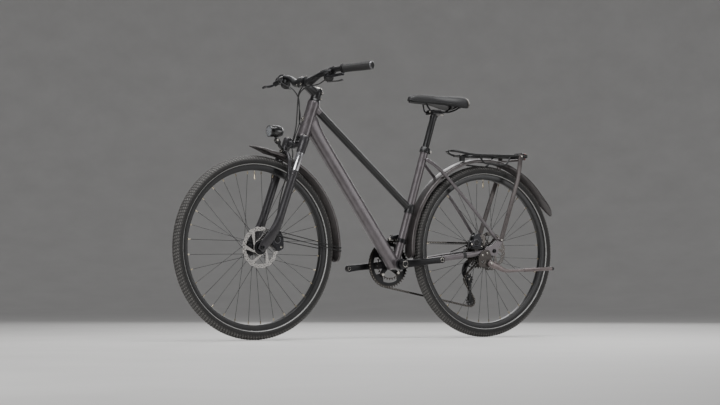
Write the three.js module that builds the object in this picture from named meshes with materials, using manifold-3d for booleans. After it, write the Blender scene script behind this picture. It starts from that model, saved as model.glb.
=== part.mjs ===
// Step-through trekking bicycle, in millimetres: +X is the way it rides, +Y its left side, +Z up.
// The bicycle stands on Z = 0, and the origin is under the middle of its outline.

import * as THREE from 'three';
import { mergeVertices } from 'three/addons/utils/BufferGeometryUtils.js';
import Module from 'manifold-3d';

const wasm = await Module();
wasm.setup();

// Driving dimensions

const gap = 0.3; // what touching pieces keep between them
const overrun = 6; // how far a cutter runs past what it cuts
const degree = Math.PI / 180;

const tyre = { radius: 356, halfWidth: 23, wall: 4, crown: 22, height: 38 };
const rim = { halfWidth: 12.5, wall: 1.7, wellDepth: 12, depth: 20.5, innerHalfWidth: 10 };
const rimEdge = tyre.radius - tyre.height;
const betweenTyres = 398;
const wheelbase = 2 * tyre.radius + betweenTyres;
const guard = { halfWidth: 29, depth: 14, wall: 2, overTyre: 29 };
const guardRadius = tyre.radius + guard.overTyre;
const spoke = { count: 12, radius: 1.2, flangeRadius: 25, crossAngle: 67.5 * degree, rimClear: 2.6 };
const rotor = { radius: 80, trackWidth: 14, thickness: 1.8, side: 44, carrierRadius: 29, boreRadius: 20 };
const frontHub = { halfWidth: 50, leftFlange: 26, rightFlange: 34, flangeRadius: 29, barrelRadius: 15 };
const rearHub = { halfWidth: 67.5, leftFlange: 32, rightFlange: 19, flangeRadius: 29, barrelRadius: 17 };
const flangeThickness = 4;
const hubEndRadius = 9;
const axle = { radius: 4.7, nutRadius: 8.5, nutLength: 6 };

const headAngle = 70 * degree;
const forkOffset = 58; // axle ahead of the steering axis
const legOffset = 25; // fork legs ahead of the steering axis
const legSide = 62; // fork legs left and right of the middle
const crownClear = 77;
const crownRace = guardRadius + crownClear; // along the steering axis, above the axle
const cupStack = 22;
const headTube = { foot: crownRace + cupStack, length: 150, radius: 23.5, bore: 20, cupRadius: 24.8, cupHeight: 14 };
const steererRise = 55; // above the head tube
const steerer = { radius: 14.3, top: headTube.foot + headTube.length + steererRise };

const shellAhead = 92; // bottom bracket ahead of the rear tyre
const shellDrop = 58; // bottom bracket below the axles
const bottomBracket = { x: tyre.radius + shellAhead, z: tyre.radius - shellDrop, radius: 21, halfWidth: 36.5, cupRadius: 22.5, cupLength: 9.5 };
const spindleRadius = 12;
const seatAngle = 72.4 * degree;
const seatTube = { length: 487, radius: 16.5, bore: 13.9 };
const downTube = { halfHeight: 27, halfWidth: 22, wall: 2, footShift: 9, footDrop: 4, headHeight: 64, headBack: 7 };
const topTube = { radius: 15, wall: 1.6, headHeight: 134, seatHeight: 235, bandRadius: 19.5, bandHeight: 38 };
const stayRadius = 7.2;
const dropout = { side: 67.5, thickness: 7 };

// Small helpers for solids

const at = (x, y, z) => new THREE.Vector3(x, y, z);
const left = 1;
const right = -1;

// A closed mesh through rings of equal count; flat is the outline, anticlockwise, that closes both ends.
function loft(rings, flat) {
  const count = rings[0].length;
  const positions = rings.flat().flatMap((p) => [p.x, p.y, p.z]);
  const faces = [];
  for (let k = 0; k < rings.length - 1; k += 1) {
    for (let i = 0; i < count; i += 1) {
      const a = k * count + i;
      const b = k * count + ((i + 1) % count);
      faces.push([a, b, b + count], [a, b + count, a + count]);
    }
  }
  const turnOf = (f) => Math.sign(THREE.ShapeUtils.area(f.map((i) => flat[i])));
  const last = (rings.length - 1) * count;
  for (const f of THREE.ShapeUtils.triangulateShape([...flat], [])) {
    const face = turnOf(f) === 1 ? f : [f[0], f[2], f[1]];
    faces.push([face[2], face[1], face[0]], face.map((i) => i + last));
  }
  const geometry = new THREE.BufferGeometry();
  geometry.setAttribute('position', new THREE.Float32BufferAttribute(positions, 3));
  geometry.setIndex(faces.flat());
  return geometry;
}

// A round or, with a higher power, squarer outline of unit size.
function roundOutline(sides, power = 2) {
  const pull = (v) => Math.sign(v) * Math.abs(v) ** (2 / power);
  const turn = (2 * Math.PI) / sides;
  return Array.from({ length: sides }, (_, i) => {
    const angle = (i + 0.5) * turn;
    return new THREE.Vector2(pull(Math.cos(angle)), pull(Math.sin(angle)));
  });
}

// The places of an outline at each point of a path, without twist; side sets where its x runs first.
function framesAlong(points, side) {
  let across = side.clone();
  return points.map((point, k) => {
    const ahead = points[Math.min(k + 1, points.length - 1)].clone().sub(point).normalize();
    const behind = point.clone().sub(points[Math.max(k - 1, 0)]).normalize();
    const forward = ahead.add(behind).normalize();
    across = across.clone().addScaledVector(forward, -across.dot(forward)).normalize();
    return { point, across, up: forward.clone().cross(across) };
  });
}

// A limb of changing section: sizes holds [half across, half up] for each point, or for all.
function limb(points, sizes, { side = at(0, 1, 0), sides = 10, power = 2 } = {}) {
  const outline = roundOutline(sides, power);
  const rings = framesAlong(points, side).map(({ point, across, up }, k) => {
    const [half, rise] = Array.isArray(sizes[0]) ? sizes[k] : sizes;
    return outline.map((p) => point.clone().addScaledVector(across, p.x * half).addScaledVector(up, p.y * rise));
  });
  return loft(rings, outline);
}

// Corners of a path rounded over a length of reach on both sides.
function bend(points, reach, steps = 4) {
  const path = [points[0].clone()];
  for (let k = 1; k < points.length - 1; k += 1) {
    const [before, corner, after] = [points[k - 1], points[k], points[k + 1]];
    const inward = Math.min(reach, before.distanceTo(corner) / 2);
    const outward = Math.min(reach, after.distanceTo(corner) / 2);
    const start = corner.clone().addScaledVector(before.clone().sub(corner).normalize(), inward);
    const end = corner.clone().addScaledVector(after.clone().sub(corner).normalize(), outward);
    path.push(...new THREE.QuadraticBezierCurve3(start, corner, end).getPoints(steps));
  }
  path.push(points[points.length - 1].clone());
  return path.filter((p, k) => k === 0 || p.distanceTo(path[k - 1]) > gap);
}

const rod = (points, radius, sides = 8) => limb(points, [radius, radius], { sides });

// A cord: round outline carried along a smooth curve through its points.
function cord(points, radius, steps) {
  const outline = new THREE.Shape(roundOutline(5).map((p) => p.multiplyScalar(radius)));
  const curve = new THREE.CatmullRomCurve3(points, false, 'centripetal');
  return new THREE.ExtrudeGeometry(outline, { steps, extrudePath: curve, bevelEnabled: false });
}

// A turned solid: profile holds [radius, height] pairs, its axis runs from a point in a direction.
function turned(profile, from, direction, sides = 24) {
  const geometry = new THREE.LatheGeometry(profile.map(([r, h]) => new THREE.Vector2(r, h)), sides);
  geometry.applyQuaternion(new THREE.Quaternion().setFromUnitVectors(at(0, 1, 0), direction.clone().normalize()));
  return geometry.translate(from.x, from.y, from.z);
}

function pipe(from, to, outer, inner, sides = 20) {
  const length = from.distanceTo(to);
  const profile = [[inner, 0], [outer, 0], [outer, length], [inner, length], [inner, 0]];
  return turned(profile, from, to.clone().sub(from), sides);
}

function bar(from, to, radius, sides = 16) {
  const length = from.distanceTo(to);
  return turned([[0, 0], [radius, 0], [radius, length], [0, length]], from, to.clone().sub(from), sides);
}

function block(low, high) {
  const size = high.clone().sub(low);
  const middle = high.clone().add(low).multiplyScalar(0.5);
  return new THREE.BoxGeometry(size.x, size.y, size.z).translate(middle.x, middle.y, middle.z);
}

// A plate in the X-Z plane from [x, z] pairs, from y = low up to low + thickness.
function plate(outline, low, thickness, holes = []) {
  const shape = new THREE.Shape(outline.map(([x, z]) => new THREE.Vector2(x, z)));
  for (const hole of holes) shape.holes.push(new THREE.Path(hole.map(([x, z]) => new THREE.Vector2(x, z))));
  const geometry = new THREE.ExtrudeGeometry(shape, { depth: thickness, bevelEnabled: false });
  return geometry.rotateX(Math.PI / 2).translate(0, low + thickness, 0);
}

function circle(x, z, radius, sides = 12) {
  const turn = (2 * Math.PI) / sides;
  return Array.from({ length: sides }, (_, i) => [
    x + radius * Math.cos(i * turn),
    z + radius * Math.sin(i * turn),
  ]);
}

// A library solid from a closed geometry, turned so that its faces point out.
function solid(shape) {
  if (!shape.isBufferGeometry) return shape;
  const plain = shape.clone();
  plain.deleteAttribute('normal');
  plain.deleteAttribute('uv');
  const merged = mergeVertices(plain, 1e-4);
  const index = Array.from(merged.index.array);
  const kept = [];
  for (let i = 0; i < index.length; i += 3) {
    const [a, b, c] = index.slice(i, i + 3);
    if (a !== b && b !== c && c !== a) kept.push(a, b, c);
  }
  const vertProperties = new Float32Array(merged.attributes.position.array);
  const corner = (i) => at(vertProperties[3 * i], vertProperties[3 * i + 1], vertProperties[3 * i + 2]);
  let volume = 0;
  for (let i = 0; i < kept.length; i += 3) {
    volume += corner(kept[i]).dot(corner(kept[i + 1]).cross(corner(kept[i + 2])));
  }
  if (volume < 0) kept.reverse();
  return new wasm.Manifold(new wasm.Mesh({ numProp: 3, vertProperties, triVerts: new Uint32Array(kept) }));
}

const join = (...shapes) => shapes.map(solid).reduce((a, b) => a.add(b));
const cut = (shape, ...cutters) => cutters.map(solid).reduce((a, b) => a.subtract(b), solid(shape));

function geometryOf(shape) {
  const mesh = solid(shape).getMesh();
  const geometry = new THREE.BufferGeometry();
  geometry.setAttribute('position', new THREE.BufferAttribute(new Float32Array(mesh.vertProperties), 3));
  geometry.setIndex(new THREE.BufferAttribute(new Uint32Array(mesh.triVerts), 1));
  geometry.computeVertexNormals();
  return geometry;
}

// Finishes seen on the object

const finish = (color, roughness, metalness) => new THREE.MeshStandardMaterial({ color, roughness, metalness });
const frameGrey = finish(0x77706f, 0.42, 0.55);
const satinBlack = finish(0x1a1a1b, 0.5, 0.2);
const castBlack = finish(0x222223, 0.45, 0.4);
const forkGrey = finish(0x3a393b, 0.42, 0.35);
const chrome = finish(0xd8d8da, 0.15, 1);
const steel = finish(0xa9a7a5, 0.3, 1);
const darkSteel = finish(0x4a4846, 0.4, 0.9);
const standGrey = finish(0x8f8780, 0.45, 0.5);
const rubber = finish(0x1b1b1b, 0.85, 0);
const softBlack = finish(0x1f1f20, 0.7, 0);
const lampFinish = finish(0x2b2b2d, 0.3, 0.2);
const lensRed = finish(0x7a1512, 0.25, 0);

function add(parent, name, shape, material) {
  const mesh = new THREE.Mesh(geometryOf(shape), material);
  mesh.name = name;
  parent.add(mesh);
}

// Places that several pieces share

const axleHeight = tyre.radius;
const rearAxleAt = at(0, 0, axleHeight);
const frontAxleAt = at(wheelbase, 0, axleHeight);
const shellAt = at(bottomBracket.x, 0, bottomBracket.z);
const steerUp = at(-Math.cos(headAngle), 0, Math.sin(headAngle));
const steerFore = at(Math.sin(headAngle), 0, Math.cos(headAngle));
const steerFoot = frontAxleAt.clone().addScaledVector(steerFore, -forkOffset);
const seatUp = at(-Math.cos(seatAngle), 0, Math.sin(seatAngle));

const steer = (height, fore = 0, side = 0) =>
  steerFoot.clone().addScaledVector(steerUp, height).addScaledVector(steerFore, fore).setY(side);
const seat = (height, fore = 0, side = 0) =>
  shellAt.clone().addScaledVector(seatUp, height).addScaledVector(at(seatUp.z, 0, -seatUp.x), fore).setY(side);
const lateral = at(0, 1, 0);

const bike = new THREE.Group();
const frame = new THREE.Group();
const seatGroup = new THREE.Group();
const steering = new THREE.Group();
const lowers = new THREE.Group();
const frontWheel = new THREE.Group();
const rearWheel = new THREE.Group();
const crankset = new THREE.Group();
bike.add(frame, seatGroup, steering, lowers, frontWheel, rearWheel, crankset);

// Frame tubes

const headCutter = bar(steer(headTube.foot - overrun), steer(steerer.top), headTube.radius + gap, 16);
const shellCutter = bar(
  shellAt.clone().setY(-bottomBracket.halfWidth - overrun),
  shellAt.clone().setY(bottomBracket.halfWidth + overrun),
  bottomBracket.radius + gap,
  16,
);
const topTubeHead = steer(headTube.foot + topTube.headHeight);
const seatCutter = bar(seat(0), seat(seatTube.length + overrun), seatTube.radius + gap, 16);

function makeHeadTube() {
  const low = crownRace + gap - headTube.foot;
  const press = steerer.radius + gap;
  const cupStep = 2;
  const profile = [
    [press, low],
    [headTube.cupRadius, low],
    [headTube.cupRadius, 0],
    [headTube.radius, cupStep],
    [headTube.radius, headTube.length],
    [press, headTube.length],
    [press, headTube.length - headTube.cupHeight],
    [headTube.bore, headTube.length - headTube.cupHeight],
    [headTube.bore, headTube.cupHeight],
    [press, headTube.cupHeight],
    [press, low],
  ];
  return turned(profile, steer(headTube.foot), steerUp, 16);
}

function makeDownTube() {
  const foot = shellAt.clone().add(at(downTube.footShift, 0, -downTube.footDrop));
  const head = steer(headTube.foot + downTube.headHeight, -downTube.headBack);
  const direction = head.clone().sub(foot).normalize();
  const upward = lateral.clone().cross(direction).negate();
  const shares = [0, 0.5, 0.86, 0.93, 1];
  const flareShares = [0, 0, 0.02, 0.15, 0.42];
  const build = (inset, reach) => {
    const points = shares.map((share, k) => {
      const lift = flareShares[k] * downTube.halfHeight;
      return foot.clone().lerp(head, share).addScaledVector(upward, lift);
    });
    points[0].addScaledVector(direction, -reach);
    points[points.length - 1].addScaledVector(direction, reach);
    const sizes = flareShares.map((share) => [
      downTube.halfWidth - inset,
      downTube.halfHeight * (1 + share) - inset,
    ]);
    return limb(points, sizes, { sides: 12, power: 2.7 });
  };
  const topCutter = bar(seat(topTube.seatHeight), topTubeHead, topTube.radius + gap, 14);
  return cut(build(0, 0), build(downTube.wall, overrun), headCutter, shellCutter, topCutter, seatCutter);
}

function makeTopTube() {
  const head = topTubeHead;
  const back = seat(topTube.seatHeight);
  const band = topTube.bandHeight / 2;
  const around = [seat(topTube.seatHeight - band), seat(topTube.seatHeight + band)];
  const tube = join(bar(back, head, topTube.radius, 14), bar(...around, topTube.bandRadius, 10));
  const hollow = cut(bar(back, head, topTube.radius - topTube.wall, 8), bar(...around, topTube.bandRadius, 10));
  return cut(tube, hollow, seatCutter, headCutter);
}

function makeSeatTube() {
  return cut(pipe(seat(0), seat(seatTube.length), seatTube.radius, seatTube.bore, 16), shellCutter);
}

const collar = { radius: 20.5, height: 22, lip: 13, lugReach: 26, lugSink: 1.2, lugHalfWidth: 7, boltRadius: 3.2, boltHalf: 12 };
function makeSeatCollar() {
  const inner = seatTube.radius + 2 * gap;
  const lipBore = seatTube.bore + 2 * gap;
  const seatTop = seatTube.length + gap;
  const low = seatTop - collar.height + collar.lip;
  const high = seatTop + collar.lip;
  const profile = [[inner, low], [collar.radius, low], [collar.radius, high], [lipBore, high], [lipBore, seatTop]];
  profile.push([inner, seatTop], [inner, low]);
  const middle = (low + high) / 2;
  const lugPath = [seat(middle, -inner - collar.lugSink), seat(middle, -collar.lugReach)];
  const lug = limb(lugPath, [collar.lugHalfWidth, collar.height / 3], { sides: 6, power: 3 });
  const boltAt = collar.lugReach - collar.boltRadius * 1.5;
  const bolt = bar(seat(middle, -boltAt, -collar.boltHalf), seat(middle, -boltAt, collar.boltHalf), collar.boltRadius, 6);
  return join(turned(profile, shellAt, seatUp, 14), lug, bolt);
}

function makeShell() {
  const { radius, halfWidth, cupRadius, cupLength } = bottomBracket;
  const end = halfWidth + cupLength;
  const tight = spindleRadius + gap;
  const profile = [
    [tight, -end], [cupRadius, -end], [cupRadius, -halfWidth], [radius, -halfWidth],
    [radius, halfWidth], [cupRadius, halfWidth], [cupRadius, end], [tight, end], [tight, -end],
  ];
  return turned(profile, shellAt, lateral, 16);
}

// Dropout corners from the rear axle, [x, z]; the stay meets the edge from stayEdge[0] to stayEdge[1].
const stayEdge = [[-12.6, 39.3], [-27.4, 52.7]];
const strutSeat = [-32, 43];
const dropoutFront = [[44, -11], [46, 10], [18, 22]];
const dropoutRear = [[-42, 54], [-46, 40], [-24, 10], [-18, -12]];
const dropoutLow = { [left]: [[-6, -20], [14, -18]], [right]: [[-5, -20], [-3, -38], [13, -40], [18, -17]] };
const chainstay = { halfWidth: 7.6, halfHeight: 11.2, startBack: 16, startSide: 20, startDrop: 1 };
const chainstayLead = [[66, 29, 52], [103, 35, 47]]; // behind the shell, out, below the axle
const chainstayPath = [[245, 48, -34], [130, 60.5, -18], [60, 67, -8], [26, 71, -3]]; // from the axle

function chainstayLimb(side, extra) {
  const start = at(bottomBracket.x - chainstay.startBack, chainstay.startSide, bottomBracket.z - chainstay.startDrop);
  const lead = chainstayLead.map(([back, y, drop]) => at(bottomBracket.x - back, y, axleHeight - drop));
  const points = [start, ...lead, ...chainstayPath.map(([x, y, z]) => at(x, y, z + axleHeight))];
  const shares = [1, 1, 0.97, 0.97, 1, 0.92, 0.8];
  const sizes = shares.map((share) => [
    chainstay.halfWidth * Math.min(share, 0.97) + extra,
    chainstay.halfHeight * share + extra,
  ]);
  for (const point of points) point.y *= side;
  return limb(points, sizes, { sides: 8, power: 2.6 });
}

function makeChainstay(side) {
  const outline = [...dropoutFront, ...stayEdge, ...dropoutRear, ...dropoutLow[side]];
  const placed = outline.map(([x, z]) => [x, z + axleHeight]);
  const low = side === left ? dropout.side : -dropout.side - dropout.thickness;
  const end = plate(placed, low, dropout.thickness, [circle(0, axleHeight, axle.radius + gap)]);
  return cut(join(chainstayLimb(side, 0), end), shellCutter);
}

const seatstayTop = { height: 452.8, back: 5.3, side: 18 };
const seatstayPath = [[256, 37, 334], [130, 48, 213]];
function makeSeatstay(side) {
  const edge = [0, 1].map((k) => (stayEdge[0][k] + stayEdge[1][k]) / 2);
  const end = at(edge[0], dropout.side + dropout.thickness / 2, edge[1] + axleHeight);
  const top = seat(seatstayTop.height, -seatstayTop.back, seatstayTop.side);
  const points = [top, ...seatstayPath.map(([x, y, z]) => at(x, y, z + axleHeight)), end];
  const last = points.length - 1;
  const towards = points[last].clone().sub(points[last - 1]).normalize();
  points[last].addScaledVector(towards, -stayRadius / 2);
  for (const point of points) point.y *= side;
  const stay = rod(bend(points, 40, 2), stayRadius, 9);
  return cut(stay, seatCutter);
}

add(frame, 'head_tube', makeHeadTube(), frameGrey);
add(frame, 'down_tube', makeDownTube(), frameGrey);
add(frame, 'top_tube', makeTopTube(), satinBlack);
add(frame, 'seat_tube', makeSeatTube(), frameGrey);
add(frame, 'seat_collar', makeSeatCollar(), satinBlack);
add(frame, 'bottom_bracket_shell', makeShell(), castBlack);
add(frame, 'chainstay_left', makeChainstay(left), frameGrey);
add(frame, 'chainstay_right', makeChainstay(right), frameGrey);
add(frame, 'seatstay_left', makeSeatstay(left), frameGrey);
add(frame, 'seatstay_right', makeSeatstay(right), frameGrey);

// Wheels

const wheelSides = 28;

function wheelTurned(profile, sides) {
  return turned(profile, at(0, 0, 0), lateral, sides);
}

function makeTyre() {
  const { radius, wall, crown: rise, halfWidth } = tyre;
  const widestRadius = radius - rise;
  const bead = rimEdge + gap;
  const half = [
    [radius, 0], [widestRadius + rise * 0.66, halfWidth * 0.76], [widestRadius - rise * 0.1, halfWidth],
    [bead, rim.halfWidth], [bead, rim.halfWidth - wall], [widestRadius, halfWidth - wall],
  ];
  const mirrored = half.slice(1).reverse().map(([r, h]) => [r, -h]);
  return wheelTurned([...half, ...mirrored, half[0]], wheelSides);
}

const rimInner = rimEdge - rim.depth;
function makeRim() {
  const { halfWidth, wall, wellDepth, innerHalfWidth } = rim;
  const well = rimEdge - wellDepth;
  const profile = [
    [rimEdge, halfWidth], [rimEdge, halfWidth - wall], [well, halfWidth - wall],
    [well, -halfWidth + wall], [rimEdge, -halfWidth + wall], [rimEdge, -halfWidth],
    [rimInner, -innerHalfWidth], [rimInner, innerHalfWidth], [rimEdge, halfWidth],
  ];
  return wheelTurned(profile, wheelSides);
}

function spokesTo(flangeSide, side, firstAngle) {
  const shapes = [];
  const end = rimInner - spoke.rimClear;
  for (let k = 0; k < spoke.count; k += 1) {
    const angle = firstAngle + (k * 2 * Math.PI) / spoke.count;
    const lean = k % 2 === 0 ? spoke.crossAngle : -spoke.crossAngle;
    const bow = (k % 2 === 0 ? 1 : -1) * flangeThickness / 3;
    const hubEnd = at(spoke.flangeRadius * Math.cos(angle + lean), flangeSide + bow, spoke.flangeRadius * Math.sin(angle + lean));
    const rimEnd = at(end * Math.cos(angle), (side * rim.innerHalfWidth) / 4, end * Math.sin(angle));
    shapes.push(limb([hubEnd, rimEnd], [spoke.radius, spoke.radius], { sides: 3 }));
  }
  return shapes;
}

// The hub with its laced spokes; a cassette hub ends at its right flange, where the cassette's body begins.
function makeHub(hub, hasCassette) {
  const end = hub.halfWidth - gap;
  const half = flangeThickness / 2;
  const boreRadius = axle.radius + gap;
  const rotorInner = rotor.side - rotor.thickness / 2 - gap;
  const rotorOuter = rotor.side + rotor.thickness / 2 + gap;
  const seatRadius = rotor.boreRadius - 4 * gap;
  const rightEnd = [[boreRadius, -end], [hubEndRadius, -end], [hubEndRadius, -hub.rightFlange - 2 * half]];
  const start = hasCassette ? [boreRadius, -hub.rightFlange - half] : rightEnd[0];
  const profile = [
    ...(hasCassette ? [start] : rightEnd), [hub.flangeRadius, -hub.rightFlange - half], [hub.flangeRadius, -hub.rightFlange + half],
    [hub.barrelRadius, -hub.rightFlange + half + flangeThickness],
    [hub.barrelRadius, hub.leftFlange - half - flangeThickness],
    [hub.flangeRadius, hub.leftFlange - half], [hub.flangeRadius, hub.leftFlange + half],
    [seatRadius, rotorInner], [seatRadius, rotorOuter], [hubEndRadius, end], [boreRadius, end], start,
  ];
  const body = wheelTurned(profile, 9);
  const halfStep = Math.PI / spoke.count;
  return join(body, ...spokesTo(hub.leftFlange, left, 0), ...spokesTo(-hub.rightFlange, right, halfStep));
}

// The rotor's track is carried by swept arms from its carrier.
function makeRotor() {
  const arms = 5;
  const shapes = [];
  const low = rotor.side - rotor.thickness / 2;
  const inner = rotor.radius - rotor.trackWidth;
  shapes.push(plate(circle(0, 0, rotor.radius, 20), low, rotor.thickness, [circle(0, 0, inner, 10)]));
  shapes.push(plate(circle(0, 0, rotor.carrierRadius, 10), low, rotor.thickness, [circle(0, 0, rotor.boreRadius, 10)]));
  const armHalf = 3.4;
  const sweepAngle = 34 * degree;
  for (let k = 0; k < arms; k += 1) {
    const angle = (k * 2 * Math.PI) / arms;
    const root = [Math.cos(angle) * (rotor.carrierRadius - armHalf), Math.sin(angle) * (rotor.carrierRadius - armHalf)];
    const tipRadius = inner + armHalf;
    const tip = [Math.cos(angle + sweepAngle) * tipRadius, Math.sin(angle + sweepAngle) * tipRadius];
    const length = Math.hypot(tip[0] - root[0], tip[1] - root[1]);
    const normal = [(-(tip[1] - root[1]) / length) * armHalf, ((tip[0] - root[0]) / length) * armHalf];
    const corners = [
      [root[0] + normal[0], root[1] + normal[1]], [root[0] - normal[0], root[1] - normal[1]],
      [tip[0] - normal[0], tip[1] - normal[1]], [tip[0] + normal[0], tip[1] + normal[1]],
    ];
    shapes.push(plate(corners, low, rotor.thickness));
  }
  return join(...shapes);
}

function addWheel(group, name, hub, hasCassette) {
  add(group, `${name}_tyre`, makeTyre(), rubber);
  add(group, `${name}_rim`, makeRim(), satinBlack);
  add(group, `${name}_hub`, makeHub(hub, hasCassette), castBlack);
  add(group, `${name}_rotor`, makeRotor(), steel);
}

frontWheel.position.copy(frontAxleAt);
rearWheel.position.copy(rearAxleAt);
addWheel(frontWheel, 'front', frontHub, false);
addWheel(rearWheel, 'rear', rearHub, true);

function makeAxle(halfSpan) {
  const end = halfSpan + gap + axle.nutLength;
  const inner = halfSpan + gap;
  const profile = [
    [0, -end], [axle.nutRadius, -end], [axle.nutRadius, -inner], [axle.radius, -inner],
    [axle.radius, inner], [axle.nutRadius, inner], [axle.nutRadius, end], [0, end],
  ];
  return profile;
}

add(frame, 'rear_axle', turned(makeAxle(dropout.side + dropout.thickness), rearAxleAt, lateral, 10), darkSteel);

// Sprockets, chain and cranks

const chainPitch = 12.7;
const toothHeight = 3.2;
const chainSide = -47;
const chain = { innerHalf: 1.35, outerHalf: 2.7, halfHeight: 4.1, rollerRadius: 2.4 };
const bigRing = { teeth: 46, inner: 52, thickness: 1.9 };
const smallRing = { teeth: 30, inner: 47, side: -39.5 };
const ringBolt = { radius: 4.5, circle: 54, count: 4 };
const pitchRadius = (teeth) => chainPitch / 2 / Math.sin(Math.PI / teeth);

function toothed(teeth, low, thickness, holes) {
  const tip = pitchRadius(teeth) + toothHeight;
  const root = pitchRadius(teeth) - toothHeight;
  const outline = [];
  const turn = (2 * Math.PI) / teeth;
  for (let k = 0; k < teeth; k += 1) {
    outline.push([tip * Math.cos(k * turn), tip * Math.sin(k * turn)]);
    outline.push([root * Math.cos((k + 0.5) * turn), root * Math.sin((k + 0.5) * turn)]);
  }
  return plate(outline, low, thickness, holes);
}

function makeRings() {
  const low = chainSide - bigRing.thickness / 2;
  const smallLow = smallRing.side - bigRing.thickness / 2;
  const big = toothed(bigRing.teeth, low, bigRing.thickness, [circle(0, 0, bigRing.inner, 8)]);
  const smallEdge = circle(0, 0, pitchRadius(smallRing.teeth) + toothHeight / 2, smallRing.teeth);
  const small = plate(smallEdge, smallLow, bigRing.thickness, [circle(0, 0, smallRing.inner, 8)]);
  const bolts = [];
  for (let k = 0; k < ringBolt.count; k += 1) {
    const angle = ((k + 0.5) * 2 * Math.PI) / ringBolt.count;
    const x = Math.cos(angle) * ringBolt.circle;
    const z = Math.sin(angle) * ringBolt.circle;
    bolts.push(bar(at(x, low + bigRing.thickness / 2, z), at(x, smallLow + bigRing.thickness / 2, z), ringBolt.radius, 6));
  }
  return join(big, small, ...bolts);
}

const crank = {
  length: 170, tilt: 6.2 * degree, eyeRadius: 14, eyeBore: 7, eyeSide: 85, halfThickness: 6.5,
  bossRadius: 17, bossStart: 47, bossEnd: 72, spindleEnd: 68,
};
const spider = { side: 51, halfThickness: 2, reach: 60, halfWidth: 9 };

// A crank arm points along +X or -X of its own frame, and its eye is on the given side.
function makeArm(side, direction) {
  const eye = at(direction * crank.length, side * crank.eyeSide, 0);
  const boss = bar(at(0, side * crank.bossStart, 0), at(0, side * crank.bossEnd, 0), crank.bossRadius, 12);
  const bossMid = (crank.bossStart + crank.bossEnd) / 2;
  const armPath = [
    at(0, side * bossMid, 0),
    at(direction * crank.length * 0.25, side * (crank.eyeSide - crank.halfThickness), 0),
    at(direction * crank.length * 0.7, side * crank.eyeSide, 0),
    eye,
  ];
  const shares = [1.25, 1.05, 0.9, 0.95];
  const sizes = shares.map((share) => [crank.halfThickness, crank.eyeRadius * share]);
  const arm = limb(armPath, sizes, { sides: 8, power: 4 });
  const eyeLow = eye.clone().setY(side * (crank.eyeSide - crank.halfThickness));
  const eyeHigh = eye.clone().setY(side * (crank.eyeSide + crank.halfThickness));
  const through = bar(
    eye.clone().setY(side * (crank.eyeSide - crank.halfThickness - overrun)),
    eye.clone().setY(side * (crank.eyeSide + crank.halfThickness + overrun)),
    crank.eyeBore,
    10,
  );
  return cut(join(boss, arm, bar(eyeLow, eyeHigh, crank.eyeRadius, 12)), through);
}

function makeRightArm() {
  const spindle = bar(at(0, -crank.bossStart - 1, 0), at(0, crank.spindleEnd, 0), spindleRadius, 14);
  const shapes = [makeArm(right, left), spindle];
  for (let k = 0; k < ringBolt.count; k += 1) {
    const angle = ((k + 0.5) * 2 * Math.PI) / ringBolt.count;
    const tip = at(Math.cos(angle) * spider.reach, -spider.side, Math.sin(angle) * spider.reach);
    shapes.push(limb([at(0, -spider.side, 0), tip], [spider.halfThickness * 1.4, spider.halfWidth * 1.3], { sides: 4 }));
  }
  return join(...shapes);
}

function makeLeftArm() {
  const socket = bar(at(0, crank.bossStart - overrun, 0), at(0, crank.spindleEnd + gap, 0), spindleRadius + gap, 14);
  return cut(makeArm(left, right), socket);
}

crankset.position.copy(shellAt);
crankset.rotation.y = crank.tilt;
add(crankset, 'crank_arm_right', makeRightArm(), castBlack);
add(crankset, 'crank_arm_left', makeLeftArm(), castBlack);
add(crankset, 'chainrings', makeRings(), darkSteel);

const cassette = { teeth: [11, 13, 15, 17, 21, 26, 34], engaged: 3, spacing: 5, thickness: 1.8, core: 17, sides: 10 };
function makeCassette() {
  const shapes = [];
  const sideOf = (k) => chainSide + (k - cassette.engaged) * cassette.spacing;
  cassette.teeth.forEach((teeth, k) => {
    const low = sideOf(k) - cassette.thickness / 2;
    const disc = circle(0, 0, pitchRadius(teeth) + toothHeight / 2, Math.min(teeth, cassette.sides));
    const isEngaged = k === cassette.engaged;
    shapes.push(isEngaged ? toothed(teeth, low, cassette.thickness) : plate(disc, low, cassette.thickness));
  });
  const low = sideOf(0) - cassette.spacing;
  const high = -rearHub.rightFlange - flangeThickness / 2 - 2 * gap;
  shapes.push(bar(at(0, low, 0), at(0, high, 0), cassette.core, 6));
  const through = bar(at(0, low - overrun, 0), at(0, high + overrun, 0), axle.radius + 2 * gap, 10);
  return cut(join(...shapes), through);
}

const cassetteGroup = new THREE.Group();
cassetteGroup.position.copy(rearAxleAt);
bike.add(cassetteGroup);
add(cassetteGroup, 'cassette', makeCassette(), darkSteel);

// Guide and tension pulleys of the rear derailleur
const pulley = { teeth: 11, thickness: 2, bore: 2.9, pinRadius: 2.6 };
const guidePlace = { ahead: 42, below: 116 };
const tensionPlace = { ahead: 33, below: 207 };
const guideAt = at(guidePlace.ahead, chainSide, axleHeight - guidePlace.below);
const tensionAt = at(tensionPlace.ahead, chainSide, axleHeight - tensionPlace.below);

// The chain's middle line in the X-Z plane round its wheels; turn is -1 where it bends backwards.
const wheels = [
  { centre: shellAt, radius: pitchRadius(bigRing.teeth), turn: 1 },
  { centre: rearAxleAt, radius: pitchRadius(cassette.teeth[cassette.engaged]), turn: 1 },
  { centre: guideAt, radius: pitchRadius(pulley.teeth), turn: -1 },
  { centre: tensionAt, radius: pitchRadius(pulley.teeth), turn: 1 },
];

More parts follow.
